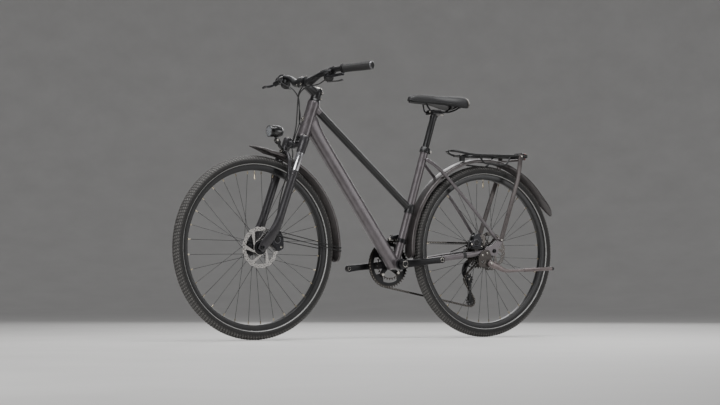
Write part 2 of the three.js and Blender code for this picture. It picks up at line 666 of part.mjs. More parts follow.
function chainRuns() {
  return wheels.map((one, k) => {
    const two = wheels[(k + 1) % wheels.length];
    const dx = two.centre.x - one.centre.x;
    const dz = two.centre.z - one.centre.z;
    const spread = two.turn * two.radius - one.turn * one.radius;
    const heading = Math.atan2(dz, dx) - Math.asin(spread / Math.hypot(dx, dz));
    const normal = [-Math.sin(heading), Math.cos(heading)];
    const off = (wheel) => [
      wheel.centre.x - wheel.turn * wheel.radius * normal[0],
      wheel.centre.z - wheel.turn * wheel.radius * normal[1],
    ];
    return { start: off(one), end: off(two), heading };
  });
}

function chainLine() {
  const runs = chainRuns();
  const line = [];
  const stepAngle = 40 * degree;
  runs.forEach((run, k) => {
    const wheel = wheels[(k + 1) % wheels.length];
    const next = runs[(k + 1) % runs.length];
    line.push({ x: run.start[0], z: run.start[1], heading: run.heading });
    let sweep = (next.heading - run.heading) * wheel.turn;
    while (sweep < 0) sweep += 2 * Math.PI;
    const steps = Math.max(2, Math.ceil(sweep / stepAngle));
    for (let i = 0; i < steps; i += 1) {
      const heading = run.heading + (wheel.turn * sweep * i) / steps;
      const x = wheel.centre.x + wheel.turn * wheel.radius * Math.sin(heading);
      const z = wheel.centre.z - wheel.turn * wheel.radius * Math.cos(heading);
      line.push({ x, z, heading });
    }
  });
  return line;
}

function makeChain() {
  const line = chainLine();
  const edge = (off) => line.map(({ x, z, heading }) => [x - off * Math.sin(heading), z + off * Math.cos(heading)]);
  const outer = edge(-chain.halfHeight);
  const inner = edge(chain.halfHeight);
  const width = chain.outerHalf - chain.innerHalf;
  const shapes = [
    plate(outer, chainSide + chain.innerHalf, width, [inner]),
    plate(outer, chainSide - chain.outerHalf, width, [inner]),
  ];
  const clear = 34; // rollers keep this far from where the chain leaves a wheel
  for (const { start, end, heading } of chainRuns()) {
    const length = Math.hypot(end[0] - start[0], end[1] - start[1]);
    const count = Math.floor((length - 2 * clear) / (8 * chainPitch));
    for (let i = 0; i <= count; i += 1) {
      const along = clear + (i * (length - 2 * clear)) / Math.max(count, 1);
      const x = start[0] + along * Math.cos(heading);
      const z = start[1] + along * Math.sin(heading);
      const low = at(x, chainSide - chain.outerHalf + gap, z);
      const high = at(x, chainSide + chain.outerHalf - gap, z);
      if (length > 2 * clear) shapes.push(bar(low, high, chain.rollerRadius, 4));
    }
  }
  return join(...shapes);
}

add(frame, 'chain', makeChain(), darkSteel);

// Front derailleur: a body on a band round the seat tube, and a cage that slides across the chain
const shifter = { bandHeight: 98, bandHalf: 8, bandRadius: 20.5, pinRadius: 3, pinHeight: 116, pinFore: 8 };
const fdCage = { low: 101.5, high: 121, from: 95 * degree, to: 127 * degree, clear: 5.2, thickness: 1.3, bridge: 3.4 };
const fdPinAt = seat(shifter.pinHeight, shifter.pinFore);
const fdInnerSide = chainSide + fdCage.clear;

function makeFrontDerailleur() {
  const band = [seat(shifter.bandHeight - shifter.bandHalf), seat(shifter.bandHeight + shifter.bandHalf)];
  const hold = pipe(...band, shifter.bandRadius, seatTube.radius + 2 * gap, 12);
  const root = seat(shifter.bandHeight, 0, -seatTube.radius - shifter.pinRadius);
  const knuckleEnd = fdPinAt.clone().setY(fdInnerSide + fdCage.thickness + 2.5);
  const knuckleStart = fdPinAt.clone().setY(-seatTube.radius - 2 * gap);
  const reach = limb([root, knuckleStart.clone().lerp(knuckleEnd, 0.4)], [7, 7], { side: at(1, 0, 0), sides: 6 });
  const knuckle = bar(knuckleStart, knuckleEnd, shifter.pinRadius * 2.4, 10);
  const bore = bar(knuckleStart.clone().lerp(knuckleEnd, 0.3), knuckleEnd.clone().setY(chainSide), shifter.pinRadius + gap, 10);
  return cut(join(hold, cut(reach, seatCutter), knuckle), bore);
}

function makeFrontCage() {
  const arc = (radius, from, to, steps) => Array.from({ length: steps + 1 }, (_, i) => {
    const angle = from + ((to - from) * i) / steps;
    return [bottomBracket.x + radius * Math.cos(angle), bottomBracket.z + radius * Math.sin(angle)];
  });
  const { low, high, from, to, thickness, bridge } = fdCage;
  const outline = [...arc(low, from, to, 5), ...arc(high, to, from, 5)];
  const outer = chainSide - fdCage.clear - thickness;
  const roofTo = from + (to - from) * 0.45;
  const roof = [...arc(high - bridge, from, roofTo, 3), ...arc(high, roofTo, from, 3)];
  const [footX, footZ] = arc(low + 2.6, to - 2 * degree, to, 1)[0];
  const footBar = bar(at(footX, outer + thickness / 2, footZ), at(footX, fdInnerSide + thickness / 2, footZ), 2.4, 8);
  const pinStart = fdPinAt.clone().setY(fdInnerSide + thickness / 2);
  const pinEnd = fdPinAt.clone().setY(-seatTube.radius - shifter.pinRadius * 3);
  return join(
    plate(outline, fdInnerSide, thickness),
    plate(outline, outer, thickness),
    plate(roof, outer, fdInnerSide - outer + thickness),
    footBar,
    bar(pinStart, pinEnd, shifter.pinRadius, 10),
  );
}

add(frame, 'front_derailleur', makeFrontDerailleur(), castBlack);
add(frame, 'front_derailleur_cage', makeFrontCage(), steel);

// Rear derailleur: its body hangs on the dropout, and the cage swings on the body's knuckle
const rdSide = -72;
const rdCage = { clear: 3.4, thickness: 1.5, halfWidth: 9, pivotRadius: 4.6, knuckleRadius: 11 };
const hanger = { ahead: 5, below: 34 };
const hangerAt = at(hanger.ahead, rdSide, axleHeight - hanger.below);
const rearCable = [[-2, 4, -64], [-52, 5, -44], [-46, 3, 10], [10, 4, 28], [74, -2, 10], [118, -8, -4]]; // from the axle, outward

function makeRearDerailleur() {
  const cageOuter = chainSide - rdCage.clear - rdCage.thickness;
  const knuckleLow = guideAt.clone().setY(cageOuter - gap);
  const knuckleHigh = guideAt.clone().setY(rdSide - rdCage.thickness);
  const knuckle = bar(knuckleHigh, knuckleLow, rdCage.knuckleRadius, 10);
  const bolt = bar(
    hangerAt.clone().setY(-dropout.side - dropout.thickness - gap),
    hangerAt.clone().setY(-dropout.side - dropout.thickness * 2.3),
    rdCage.knuckleRadius,
    8,
  );
  const armSide = -dropout.side - dropout.thickness - gap - 5.5;
  const path = [
    hangerAt.clone().setY(armSide),
    hangerAt.clone().add(at(26, 0, -24)).setY(armSide + 1),
    guideAt.clone().add(at(4, 0, 28)).setY(rdSide + 3),
    guideAt.clone().setY(rdSide + 3),
  ];
  const arm = limb(path, [[5, 9], [6, 12], [6, 12], [5, 9]], { sides: 8, power: 3 });
  const cableRoute = [
    hangerAt.clone().add(at(24, 0, -20)).setY(armSide),
    ...rearCable.map(([x, out, z]) => at(x, armSide - out, z + axleHeight)),
  ];
  const pivotBore = bar(knuckleLow.clone().setY(chainSide), guideAt.clone().setY(rdSide), rdCage.pivotRadius + gap, 12);
  return cut(join(knuckle, bolt, arm, cord(cableRoute, 2.5, 13)), pivotBore);
}

function makeRearCage() {
  const { clear, thickness, halfWidth, pivotRadius } = rdCage;
  const outerSide = chainSide - clear - thickness;
  const along = tensionAt.clone().sub(guideAt).normalize();
  const normal = [-along.z * halfWidth, along.x * halfWidth];
  const outline = [
    [guideAt.x + normal[0] - along.x * halfWidth, guideAt.z + normal[1] - along.z * halfWidth],
    [tensionAt.x + normal[0] + along.x * halfWidth, tensionAt.z + normal[1] + along.z * halfWidth],
    [tensionAt.x - normal[0] + along.x * halfWidth, tensionAt.z - normal[1] + along.z * halfWidth],
    [guideAt.x - normal[0] - along.x * halfWidth, guideAt.z - normal[1] - along.z * halfWidth],
  ];
  const pin = (centre) => bar(
    centre.clone().setY(outerSide + thickness / 2),
    centre.clone().setY(chainSide + clear + thickness / 2),
    pulley.pinRadius,
    10,
  );
  const pivot = bar(guideAt.clone().setY(outerSide + thickness / 2), guideAt.clone().setY(rdSide + gap), pivotRadius, 12);
  return join(plate(outline, outerSide, thickness), plate(outline, chainSide + clear, thickness), pin(guideAt), pin(tensionAt), pivot);
}

function makePulley() {
  return toothed(pulley.teeth, -pulley.thickness / 2, pulley.thickness, [circle(0, 0, pulley.bore, 10)]);
}

function addPulley(name, centre) {
  const group = new THREE.Group();
  group.position.copy(centre);
  bike.add(group);
  add(group, name, makePulley(), softBlack);
}

add(frame, 'rear_derailleur', makeRearDerailleur(), castBlack);
add(frame, 'rear_derailleur_cage', makeRearCage(), castBlack);
addPulley('guide_pulley', guideAt);
addPulley('tension_pulley', tensionAt);

// Brake calipers straddle their rotors
const caliper = { low: 32, high: 58, frontHigh: 60, slot: 0.5, hubRoom: 26 };
const rearCaliperShape = [[42, 10], [44, 48], [60, 68], [96, 64], [112, 36], [108, 16], [98, 6]];
const rearCaliperFoot = { from: 58, to: 106, low: 6, high: 16, lap: 2, over: 4 };

function rotorSlot(centre) {
  const half = rotor.thickness / 2 + caliper.slot;
  return bar(
    centre.clone().setY(rotor.side - half),
    centre.clone().setY(rotor.side + half),
    rotor.radius + 3,
    24,
  );
}

function makeRearCaliper() {
  const corners = rearCaliperShape.map(([x, z]) => [x, z + axleHeight]);
  const hubClear = bar(rearAxleAt, rearAxleAt.clone().setY(dropout.side), rotor.radius - caliper.hubRoom, 20);
  const body = plate(corners, caliper.low, caliper.high - caliper.low);
  const { from, to, low, high, lap, over } = rearCaliperFoot;
  const foot = block(at(from, caliper.high - lap, axleHeight + low), at(to, dropout.side + over, axleHeight + high));
  return cut(join(body, foot), rotorSlot(rearAxleAt), hubClear);
}

add(frame, 'rear_brake_caliper', makeRearCaliper(), castBlack);

const hoseRadius = 2.5;
const rearHosePath = [
  [214, 56, -15], [170, 60, -8], [132, 62, 6], [120, 58, 30], [106, 52, 56], [88, 46, 74], [80, 45, 68.8],
];
function makeRearHose() {
  return cord(rearHosePath.map(([x, y, z]) => at(x, y, z + axleHeight)), hoseRadius, 10);
}
add(frame, 'rear_brake_hose', makeRearHose(), softBlack);

// Mudguards: a shallow trough carried round the axle
function trough(centre, from, to, steps, flareAt = () => 0) {
  const { halfWidth, depth, wall } = guard;
  const crownShare = 0.72;
  const outer = [[halfWidth, -depth], [halfWidth * crownShare, 0], [-halfWidth * crownShare, 0], [-halfWidth, -depth]];
  const inner = [
    [-halfWidth + wall, -depth], [-halfWidth * crownShare + wall / 2, -wall],
    [halfWidth * crownShare - wall / 2, -wall], [halfWidth - wall, -depth],
  ];
  const outline = [...outer, ...inner].map(([y, r]) => new THREE.Vector2(y, r));
  const rings = Array.from({ length: steps + 1 }, (_, k) => {
    const share = k / steps;
    const angle = from + (to - from) * share;
    const radius = guardRadius + flareAt(share);
    const outward = at(Math.cos(angle), 0, Math.sin(angle));
    return outline.map((p) => centre.clone().addScaledVector(outward, radius + p.y).setY(p.x));
  });
  return loft(rings, outline);
}

const guardFlare = { front: 9, rear: 11 };
const guardEnd = 157 * degree;
const rearGuard = trough(rearAxleAt, -5 * degree, guardEnd, 18, (share) => guardFlare.rear * Math.max(0, share - 0.9) * 10);
add(frame, 'rear_mudguard', rearGuard, frameGrey);

// The front guard's stays run from the fork ends to its rear part
const guardStay = { back: 34, side: 72, up: 18, radius: 2.2 };
function makeFrontGuard() {
  const flare = (share) => guardFlare.front * Math.max(0, 0.12 - share) * 8;
  const body = trough(frontAxleAt, 86.6 * degree, 188 * degree, 12, flare);
  const sideways = guard.halfWidth - guardStay.radius / 2;
  const stays = [left, right].flatMap((side) => {
    const root = frontAxleAt.clone().add(at(-guardStay.back, side * guardStay.side, guardStay.up));
    return [0.86, 0.93].map((share) => {
      const angle = (86.6 + (188 - 86.6) * share) * degree;
      const reach = guardRadius - guard.depth / 2;
      const end = frontAxleAt.clone().add(at(reach * Math.cos(angle), side * sideways, reach * Math.sin(angle)));
      return rod([root, end], guardStay.radius, 4);
    });
  });
  return join(body, ...stays);
}

// Rack
const rackRise = 11; // the deck above the guard
const rackTop = axleHeight + guardRadius + rackRise;
const railRadius = 5;
const rodRadius = 4;
const railShape = [[-182, 60, 5], [60, 60, 0], [110, 60, 1], [190, 36, 18]]; // x, out, above the deck
const rodPlaces = [[-110, 3.5], [-40, 2], [30, 0.5], [109, 0]];
const loopShape = [[66, 60, 0], [46, 66, -34], [-70, 66, -39], [-100, 60, 3]];
const rackTail = { back: 188, front: 180, halfWidth: 62, below: 4, above: 12 };
const rackFoot = { from: 99, to: 119, halfWidth: 10 };
function makeRack() {
  const onDeck = (side) => ([x, out, above]) => at(x, side * out, rackTop + above);
  const rail = [...railShape.map(onDeck(left)), ...railShape.map(onDeck(right)).reverse()];
  const shapes = [rod(bend(rail, 26, 1), railRadius, 6)];
  const end = railShape[0][1];
  for (const [x, above] of rodPlaces) {
    shapes.push(bar(at(x, -end, rackTop + above), at(x, end, rackTop + above), rodRadius, 5));
  }
  const { back, front, halfWidth, below, above } = rackTail;
  shapes.push(block(at(-back, -halfWidth, rackTop - below), at(-front, halfWidth, rackTop + above)));
  for (const side of [left, right]) shapes.push(rod(bend(loopShape.map(onDeck(side)), 16, 1), rodRadius, 5));
  const footBottom = axleHeight + Math.sqrt(guardRadius ** 2 - rackFoot.from ** 2) + gap;
  shapes.push(block(at(rackFoot.from, -rackFoot.halfWidth, footBottom), at(rackFoot.to, rackFoot.halfWidth, rackTop)));
  return join(...shapes);
}

const strut = { halfWidth: 10, halfThickness: 4, side: 68.5 };
const strutTop = { back: 148, above: 10 };
const strutKnee = { back: 130, below: 89, out: 3.5 };
const strutTie = { back: 143, below: 14 };
function makeStruts() {
  const shapes = [left, right].map((side) => {
    const points = [
      at(-strutTop.back, side * strut.side, rackTop + strutTop.above),
      at(-strutKnee.back, side * (strut.side + strutKnee.out), rackTop - strutKnee.below),
      at(strutSeat[0], side * (dropout.side + dropout.thickness + gap + strut.halfThickness), strutSeat[1] + axleHeight),
    ];
    return limb(bend(points, 24, 2), [strut.halfThickness, strut.halfWidth], { sides: 8, power: 4 });
  });
  const tieZ = rackTop - strutTie.below;
  const tie = bar(at(-strutTie.back, -strut.side, tieZ), at(-strutTie.back, strut.side, tieZ), railRadius, 10);
  return join(...shapes, tie);
}

add(frame, 'rack', makeRack(), satinBlack);
add(frame, 'rack_struts', makeStruts(), frameGrey);
const tailLight = { depth: 16, halfWidth: 32, below: 12, above: 20 };
const tailLow = at(-rackTail.back - tailLight.depth, -tailLight.halfWidth, rackTop - tailLight.below);
const tailHigh = at(-rackTail.back - gap, tailLight.halfWidth, rackTop + tailLight.above);
add(frame, 'tail_light', block(tailLow, tailHigh), lensRed);

// Kickstand: a bracket under the left chainstay and a leg that folds back
const standPlace = { ahead: 29, below: 52 };
const standAt = at(standPlace.ahead, 0, axleHeight - standPlace.below);
const bracketShape = [[-7, -10], [5, -16], [51, -14], [55, 26], [33, 54], [1, 56], [-13, 26]]; // from the bolt
const standKnee = { back: 74, out: 6.5, below: 31 };
const standFoot = { back: 313, side: 112, below: 19 };
const stand = {
  boltRadius: 5, boltLength: 14, plateSide: dropout.side + dropout.thickness + gap, plateThickness: 5,
  legRoom: 2.3, halfRoot: 6.5, sleeveRadius: 7.6,
};
const standTilt = 13.06 * degree; // the leg's bolt rises outward by this angle
const standAxis = at(0, Math.cos(standTilt), Math.sin(standTilt));
const standRoot = standAt.clone().setY(stand.plateSide + stand.plateThickness + stand.legRoom + stand.halfRoot);
const standBolt = (radius) => bar(standRoot.clone().addScaledVector(standAxis, -stand.boltLength), standRoot, radius, 10);

function makeStandBracket() {
  const outline = bracketShape.map(([x, z]) => [standAt.x + x, standAt.z + z]);
  const { plateSide, plateThickness, boltRadius } = stand;
  return cut(plate(outline, plateSide, plateThickness), chainstayLimb(left, gap), standBolt(boltRadius + gap));
}

function makeStandLeg() {
  const root = standRoot;
  const { halfRoot } = stand;
  const knee = at(standAt.x - standKnee.back, root.y + standKnee.out, standAt.z - standKnee.below);
  const foot = at(standAt.x - standFoot.back, standFoot.side, standAt.z - standFoot.below);
  const sleeveStart = knee.clone().lerp(foot, 0.62);
  const arm = limb(
    [root.clone().add(at(8, 0, 6)), root, knee, knee.clone().lerp(foot, 0.08), sleeveStart],
    [[halfRoot, 12], [halfRoot, 14], [7, 9], [6, 6.5], [6, 6]],
    { sides: 8 },
  );
  const sleeve = bar(sleeveStart.clone().lerp(knee, 0.03), foot, stand.sleeveRadius, 10);
  return join(arm, sleeve, standBolt(stand.boltRadius));
}

add(frame, 'kickstand_bracket', makeStandBracket(), standGrey);
add(frame, 'kickstand_leg', makeStandLeg(), standGrey);

// Seatpost and saddle
const post = { radius: 13.6, bore: 11.2, foot: 340, top: 640 };
const saddleAt = seat(post.top);
const railRise = 16.96;
const railHeight = saddleAt.z + railRise;
const saddleRail = { radius: 3.5, side: 22 };
const railShapeUnder = [[95.5, 8, 31], [67.5, 18, 9], [41.5, 22, 0], [-58.5, 22, 0], [-94.5, 30, 13], [-112.5, 34, 27]];
const cradleShape = { back: 26.5, ahead: 21.5, lap: 6, height: 8 };
const cradleBolt = { from: 22.5, to: 50.5, drop: 6, slope: 1, radius: 4 };
function makeSeatpost() {
  const tube = pipe(seat(post.foot), seat(post.top), post.radius, post.bore, 12);
  const cradleTop = railHeight - saddleRail.radius - gap;
  const head = limb([seat(post.top - 12), seat(post.top + 4)], [post.radius, post.radius], { sides: 8 });
  const half = saddleRail.side + cradleShape.lap;
  const cradle = block(
    at(saddleAt.x - cradleShape.back, -half, cradleTop - cradleShape.height),
    at(saddleAt.x + cradleShape.ahead, half, cradleTop),
  );
  const { from, to, drop, slope, radius } = cradleBolt;
  const boltFrom = at(saddleAt.x - from, 0, cradleTop - drop);
  const bolt = bar(boltFrom, at(saddleAt.x - to, 0, cradleTop - drop - slope), radius, 6);
  return join(tube, head, cradle, bolt);
}

// Saddle shape by share of its length from the nose: half width, crown and underside over the rails, droop
const saddle = { nose: 129.5, rear: -154.5 };
const saddleShares = [0, 0.03, 0.1, 0.25, 0.4, 0.52, 0.64, 0.76, 0.87, 0.95, 1];
const saddleHalfWidths = [8, 15, 20, 24, 30, 41, 57, 69, 73, 66, 48];
const saddleTops = [47, 52, 56, 59, 60, 60, 61, 63, 65, 64, 59];
const saddleUnders = [39, 36, 36, 37, 38, 39, 39, 38, 37, 38, 41];
const saddleDroops = [2, 5, 8, 9, 10, 13, 17, 20, 22, 20, 12];
const saddleX = (share) => saddleAt.x + saddle.nose + (saddle.rear - saddle.nose) * share;

function makeCushion() {
  const topSteps = 9;
  const lowSteps = 7;
  const rings = saddleShares.map((share, k) => {
    const half = saddleHalfWidths[k];
    const ring = [];
    for (let i = 0; i < topSteps; i += 1) {
      const across = Math.cos((Math.PI * (i + 0.35)) / (topSteps - 0.3));
      const rise = Math.sqrt(Math.max(0, 1 - Math.abs(across) ** 3.2));
      const low = railHeight + saddleUnders[k] - saddleDroops[k] * 0.55;
      const high = railHeight + saddleTops[k];
      ring.push(at(saddleX(share), half * across, low + (high - low) * (0.12 + 0.88 * rise)));
    }
    for (let i = 0; i < lowSteps; i += 1) {
      const across = -0.93 + (1.86 * i) / (lowSteps - 1);
      const z = railHeight + saddleUnders[k] - saddleDroops[k] * across ** 2;
      ring.push(at(saddleX(share), half * across, z));
    }
    return ring;
  });
  const flat = rings[5].map((p) => new THREE.Vector2(p.y, p.z));
  return loft(rings, flat);
}

function makeSaddleBase() {
  const thickness = 4;
  const shares = saddleShares.slice(1, -1);
  const steps = 5;
  const rings = shares.map((share, j) => {
    const k = j + 1;
    const half = saddleHalfWidths[k] * 0.86;
    const ring = [];
    const under = (across) => railHeight + saddleUnders[k] - saddleDroops[k] * (across * 0.86) ** 2 - 3 * gap;
    for (let i = 0; i < steps; i += 1) {
      const across = 1 - (2 * i) / (steps - 1);
      ring.push(at(saddleX(share), half * across, under(across)));
    }
    for (let i = 0; i < steps; i += 1) {
      const across = -1 + (2 * i) / (steps - 1);
      ring.push(at(saddleX(share), half * across, under(across) - thickness));
    }
    return ring;
  });
  const flat = rings[4].map((p) => new THREE.Vector2(p.y, p.z));
  const rails = [left, right].map((side) => {
    const path = railShapeUnder.map(([x, y, z]) => at(saddleAt.x + x, side * y, railHeight + z));
    return rod(path, saddleRail.radius, 5);
  });
  return join(loft(rings, flat), ...rails);
}

add(seatGroup, 'seatpost', makeSeatpost(), satinBlack);
add(seatGroup, 'saddle_base', makeSaddleBase(), castBlack);
add(seatGroup, 'saddle_cushion', makeCushion(), softBlack);

// Fork
const lowersDrop = 60; // below the guard's top
const stanchionLap = 110;
const lowersTop = guardRadius - lowersDrop;
const leg = { straightFoot: 122, radius: 15.8, collarRadius: 17.6, collarHeight: 14, stanchionRadius: 14 };
const crown = { foot: 28, top: 14, capRadius: 18.5 };
const bridgeShape = [[62, 7, 22], [30, 14, 8], [0, 15, 4]]; // side, below the race, ahead
const bridgeSizes = [[13, 17], [13, 14], [15, 10]];
const legTail = [[88, 31, 61], [48, 43, 58.5], [14, 54, 57.5], [-12, 61, 57.5]]; // height, ahead, side
const legTailSizes = [[13, 17], [9, 17], [3.5, 15], [3.5, 13]];
const archShape = [[-97, 33, 61], [-69, 43, 59], [-39, 52, 54], [-5, 57, 43], [15, 58, 0]]; // over the guard, ahead, side
const archHalf = { across: 5.5, up: 8 };
const frontCaliperShape = [[-98, -4], [-96, 42], [-80, 66], [-54, 72], [-34, 42], [-46, 8], [-70, -16]];
const forkDrop = { side: 54, middle: 57.5, thickness: 7, boreFoot: 155 };
const frontSpan = forkDrop.side + forkDrop.thickness;

function makeForkUpper() {
  const shapes = [bar(steer(crownRace - 12), steer(steerer.top), steerer.radius, 14)];
  shapes.push(bar(steer(crownRace - 8), steer(crownRace), headTube.cupRadius, 16));
  for (const side of [left, right]) {
    const cap = [
      steer(crownRace - crown.foot, legOffset, side * legSide),
      steer(crownRace + crown.top, legOffset, side * legSide),
    ];
    shapes.push(bar(...cap, crown.capRadius, 10));
    const stanchion = [steer(lowersTop - stanchionLap, legOffset, side * legSide), cap[0]];
    shapes.push(bar(stanchion[0], stanchion[1].clone().addScaledVector(steerUp, 1), leg.stanchionRadius, 10));
  }
  const half = bridgeShape.map(([side, below, fore]) => steer(crownRace - below, fore, -side));
  const mirrored = half.slice(0, 2).reverse().map((p) => p.clone().setY(-p.y));
  const sizes = [...bridgeSizes, bridgeSizes[1], bridgeSizes[0]];
  shapes.push(limb([...half, ...mirrored], sizes, { side: steerFore, sides: 6 }));
  return join(...shapes);
}

function makeLowers() {
  const shapes = [];
  const { collarRadius, collarHeight, radius } = leg;
  const collarStep = 2;
  for (const side of [left, right]) {
    const path = [
      steer(lowersTop, legOffset, side * legSide),
      steer(lowersTop - collarHeight, legOffset, side * legSide),
      steer(lowersTop - collarHeight - collarStep, legOffset, side * legSide),
      steer(leg.straightFoot, legOffset, side * legSide),
      ...legTail.map(([height, fore, out]) => steer(height, fore, side * out)),
    ];
    const sizes = [
      [collarRadius, collarRadius], [collarRadius, collarRadius], [radius, radius], [radius, radius],
      ...legTailSizes,
    ];
    shapes.push(limb(path, sizes, { sides: 8 }));
  }
  const half = archShape.map(([over, fore, side]) => steer(guardRadius + over, fore, side));
  const mirrored = half.slice(0, -1).reverse().map((p) => p.clone().setY(-p.y));
  shapes.push(limb([...half, ...mirrored], [archHalf.up, archHalf.across], { side: steerFore, sides: 6, power: 3 }));
  const cutters = [left, right].map((side) => bar(
    steer(forkDrop.boreFoot, legOffset, side * legSide),
    steer(lowersTop + overrun, legOffset, side * legSide),
    leg.stanchionRadius + 2 * gap,
    10,
  ));
  const through = bar(frontAxleAt.clone().setY(-legSide - 20), frontAxleAt.clone().setY(legSide + 20), axle.radius + gap, 12);
  return cut(join(...shapes), ...cutters, through);
}

function makeFrontCaliper() {
  const corners = frontCaliperShape.map(([x, z]) => [frontAxleAt.x + x, frontAxleAt.z + z]);
  const body = plate(corners, caliper.low, caliper.frontHigh - caliper.low);
  const tail = legTail.map(([height, fore, side]) => steer(height, fore, side));
  const legClear = 2 * gap;
  const legCutter = limb(
    [steer(forkDrop.boreFoot, legOffset, legSide), steer(leg.straightFoot, legOffset, legSide), ...tail.slice(0, 2), tail[2].clone().lerp(tail[3], 0.75)],
    [leg.radius, leg.radius, ...legTailSizes.slice(0, 3)].map((size) => (Array.isArray(size) ? size : [size, size])).map(([a, b]) => [a + legClear, b + legClear]),
    { sides: 12 },
  );
  const hubClear = bar(frontAxleAt, frontAxleAt.clone().setY(legSide), rotor.radius - caliper.hubRoom, 20);
  return cut(body, rotorSlot(frontAxleAt), legCutter, hubClear);
}

// Lamp: it tilts on a pin between the ears of its bracket
const lampPlace = { ahead: 42.81, up: 77.12 };
const lampPivot = { ahead: 38.81, up: 43.12 };
const archTop = steer(guardRadius + archShape[4][0], archShape[4][1]);
const lamp = {
  x: archTop.x + lampPlace.ahead, z: archTop.z + lampPlace.up, radius: 23, length: 60,
  pivotX: archTop.x + lampPivot.ahead, pivotZ: archTop.z + lampPivot.up, earRadius: 8, pinRadius: 3,
};
function makeLamp() {
  const { x, z, radius, length, pivotX, pivotZ, earRadius, pinRadius } = lamp;
  const rimDepth = 3;
  const profile = [
    [0, 0], [radius * 0.62, 0], [radius * 0.9, length * 0.18], [radius, length * 0.5], [radius, length],
    [radius - rimDepth, length], [radius - rimDepth, length - rimDepth], [0, length - rimDepth],
  ];
  const body = turned(profile, at(x - length / 2, 0, z), at(1, 0, 0), 14);
  const tabHalf = 4;
  const tab = plate(circle(pivotX, pivotZ, earRadius - 1, 10), -tabHalf, 2 * tabHalf);
  const neck = block(at(pivotX - 5, -tabHalf, pivotZ + 2), at(pivotX + 5, tabHalf, z - radius + 3));
  const hole = bar(at(pivotX, -radius, pivotZ), at(pivotX, radius, pivotZ), pinRadius + gap, 10);
  return cut(join(body, tab, neck), hole);
}

function makeLampBracket() {
  const { pivotX, pivotZ, earRadius, pinRadius } = lamp;
  const inner = 4 + gap;
  const outer = 7.5;
  const root = steer(guardRadius + archShape[4][0] - 1, archShape[4][1] - 1 + archHalf.up + archHalf.across + gap);
  const shapes = [bar(at(pivotX, -outer - 1, pivotZ), at(pivotX, outer + 1, pivotZ), pinRadius, 8)];
  for (const low of [inner, -outer]) {
    const corners = [
      [pivotX + earRadius * 0.7, pivotZ + earRadius * 0.3], [pivotX, pivotZ + earRadius * 0.8],
      [pivotX - earRadius * 2, pivotZ - earRadius], [pivotX - earRadius, pivotZ - earRadius * 2],
    ];
    shapes.push(plate(corners, low, outer - inner));
  }
  shapes.push(limb([at(pivotX - 12, 0, pivotZ - 12), root.clone().add(at(0, 0, 8)), root.clone().add(at(0, 0, -5))], [[outer * 1.3, 7], [12, 5], [13, 5]], { sides: 4 }));
  return join(...shapes);
}

add(lowers, 'fork_lowers', makeLowers(), forkGrey);
add(lowers, 'front_axle', turned(makeAxle(frontSpan), frontAxleAt, lateral, 10), darkSteel);
add(lowers, 'front_brake_caliper', makeFrontCaliper(), castBlack);
add(lowers, 'front_mudguard', makeFrontGuard(), frameGrey);
add(lowers, 'lamp_bracket', makeLampBracket(), satinBlack);
add(lowers, 'headlamp', makeLamp(), lampFinish);
add(steering, 'fork_upper', makeForkUpper(), chrome);

// Stem: its clamp on the steerer, a cover over the upper bearing and the cap above
const stem = {
  foot: headTube.foot + headTube.length + gap, coverRadius: 22.5, coverHeight: 11.7, radius: 19.5,
  clampOver: 1, capHeight: 6, capRadius: 16, armRise: 33.7, ringRadius: 21.5, ringHalf: 23,
};
const barReach = { rise: 54.3, ahead: 72.4 };
const grasp = { centre: steer(stem.foot + barReach.rise, barReach.ahead), radius: 15.9, endRadius: 11.1, taperStart: 45, taperEnd: 112 };
const barHalf = [[0, 50, 0], [-15, 120, 26], [-27, 198, 35], [-96, 335, 42]]; // from the middle of the bar
const fromBar = (x, y, z) => grasp.centre.clone().add(at(x, y, z));
const barPoints = (side) => barHalf.map(([x, y, z]) => fromBar(x, side * y, z));

function makeStem() {
  const { foot, coverRadius, coverHeight, radius, clampOver, capHeight, capRadius, armRise, ringRadius, ringHalf } = stem;
  const coverTop = foot + coverHeight;
  const clampTop = steerer.top + clampOver;
  const capTop = clampTop + capHeight;
  const reachHeight = foot + armRise;
  const tight = steerer.radius + gap;
  const profile = [
    [tight, foot], [coverRadius, foot], [radius, coverTop], [radius, clampTop], [capRadius, capTop],
    [0, capTop], [0, steerer.top + gap], [tight, steerer.top + gap], [tight, foot],
  ];
  const clamp = turned(profile, steerFoot, steerUp, 14);
  const reach = [steer(reachHeight), steer(reachHeight).lerp(grasp.centre, 0.5), grasp.centre];
  const arm = limb(reach, [[18, 21], [15, 17], [17, 17]], { sides: 6 });
  const ring = bar(grasp.centre.clone().setY(-ringHalf), grasp.centre.clone().setY(ringHalf), ringRadius, 14);
  const bore = bar(steer(foot - overrun), steer(steerer.top + gap), tight, 14);
  const barBore = bar(
    grasp.centre.clone().setY(-ringHalf - overrun),
    grasp.centre.clone().setY(ringHalf + overrun),
    grasp.radius + 2 * gap,
    14,
  );
  return cut(join(clamp, cut(join(arm, ring), bore)), barBore);
}

function makeHandlebar() {
  const path = bend([...barPoints(right).reverse(), ...barPoints(left)], 16, 1);
  const radiusAt = (side) => {
    const share = (Math.abs(side) - grasp.taperStart) / (grasp.taperEnd - grasp.taperStart);
    return grasp.radius + (grasp.endRadius - grasp.radius) * Math.min(1, Math.max(0, share));
  };
  return limb(path, path.map((p) => [radiusAt(p.y), radiusAt(p.y)]), { side: at(1, 0, 0), sides: 8 });
}

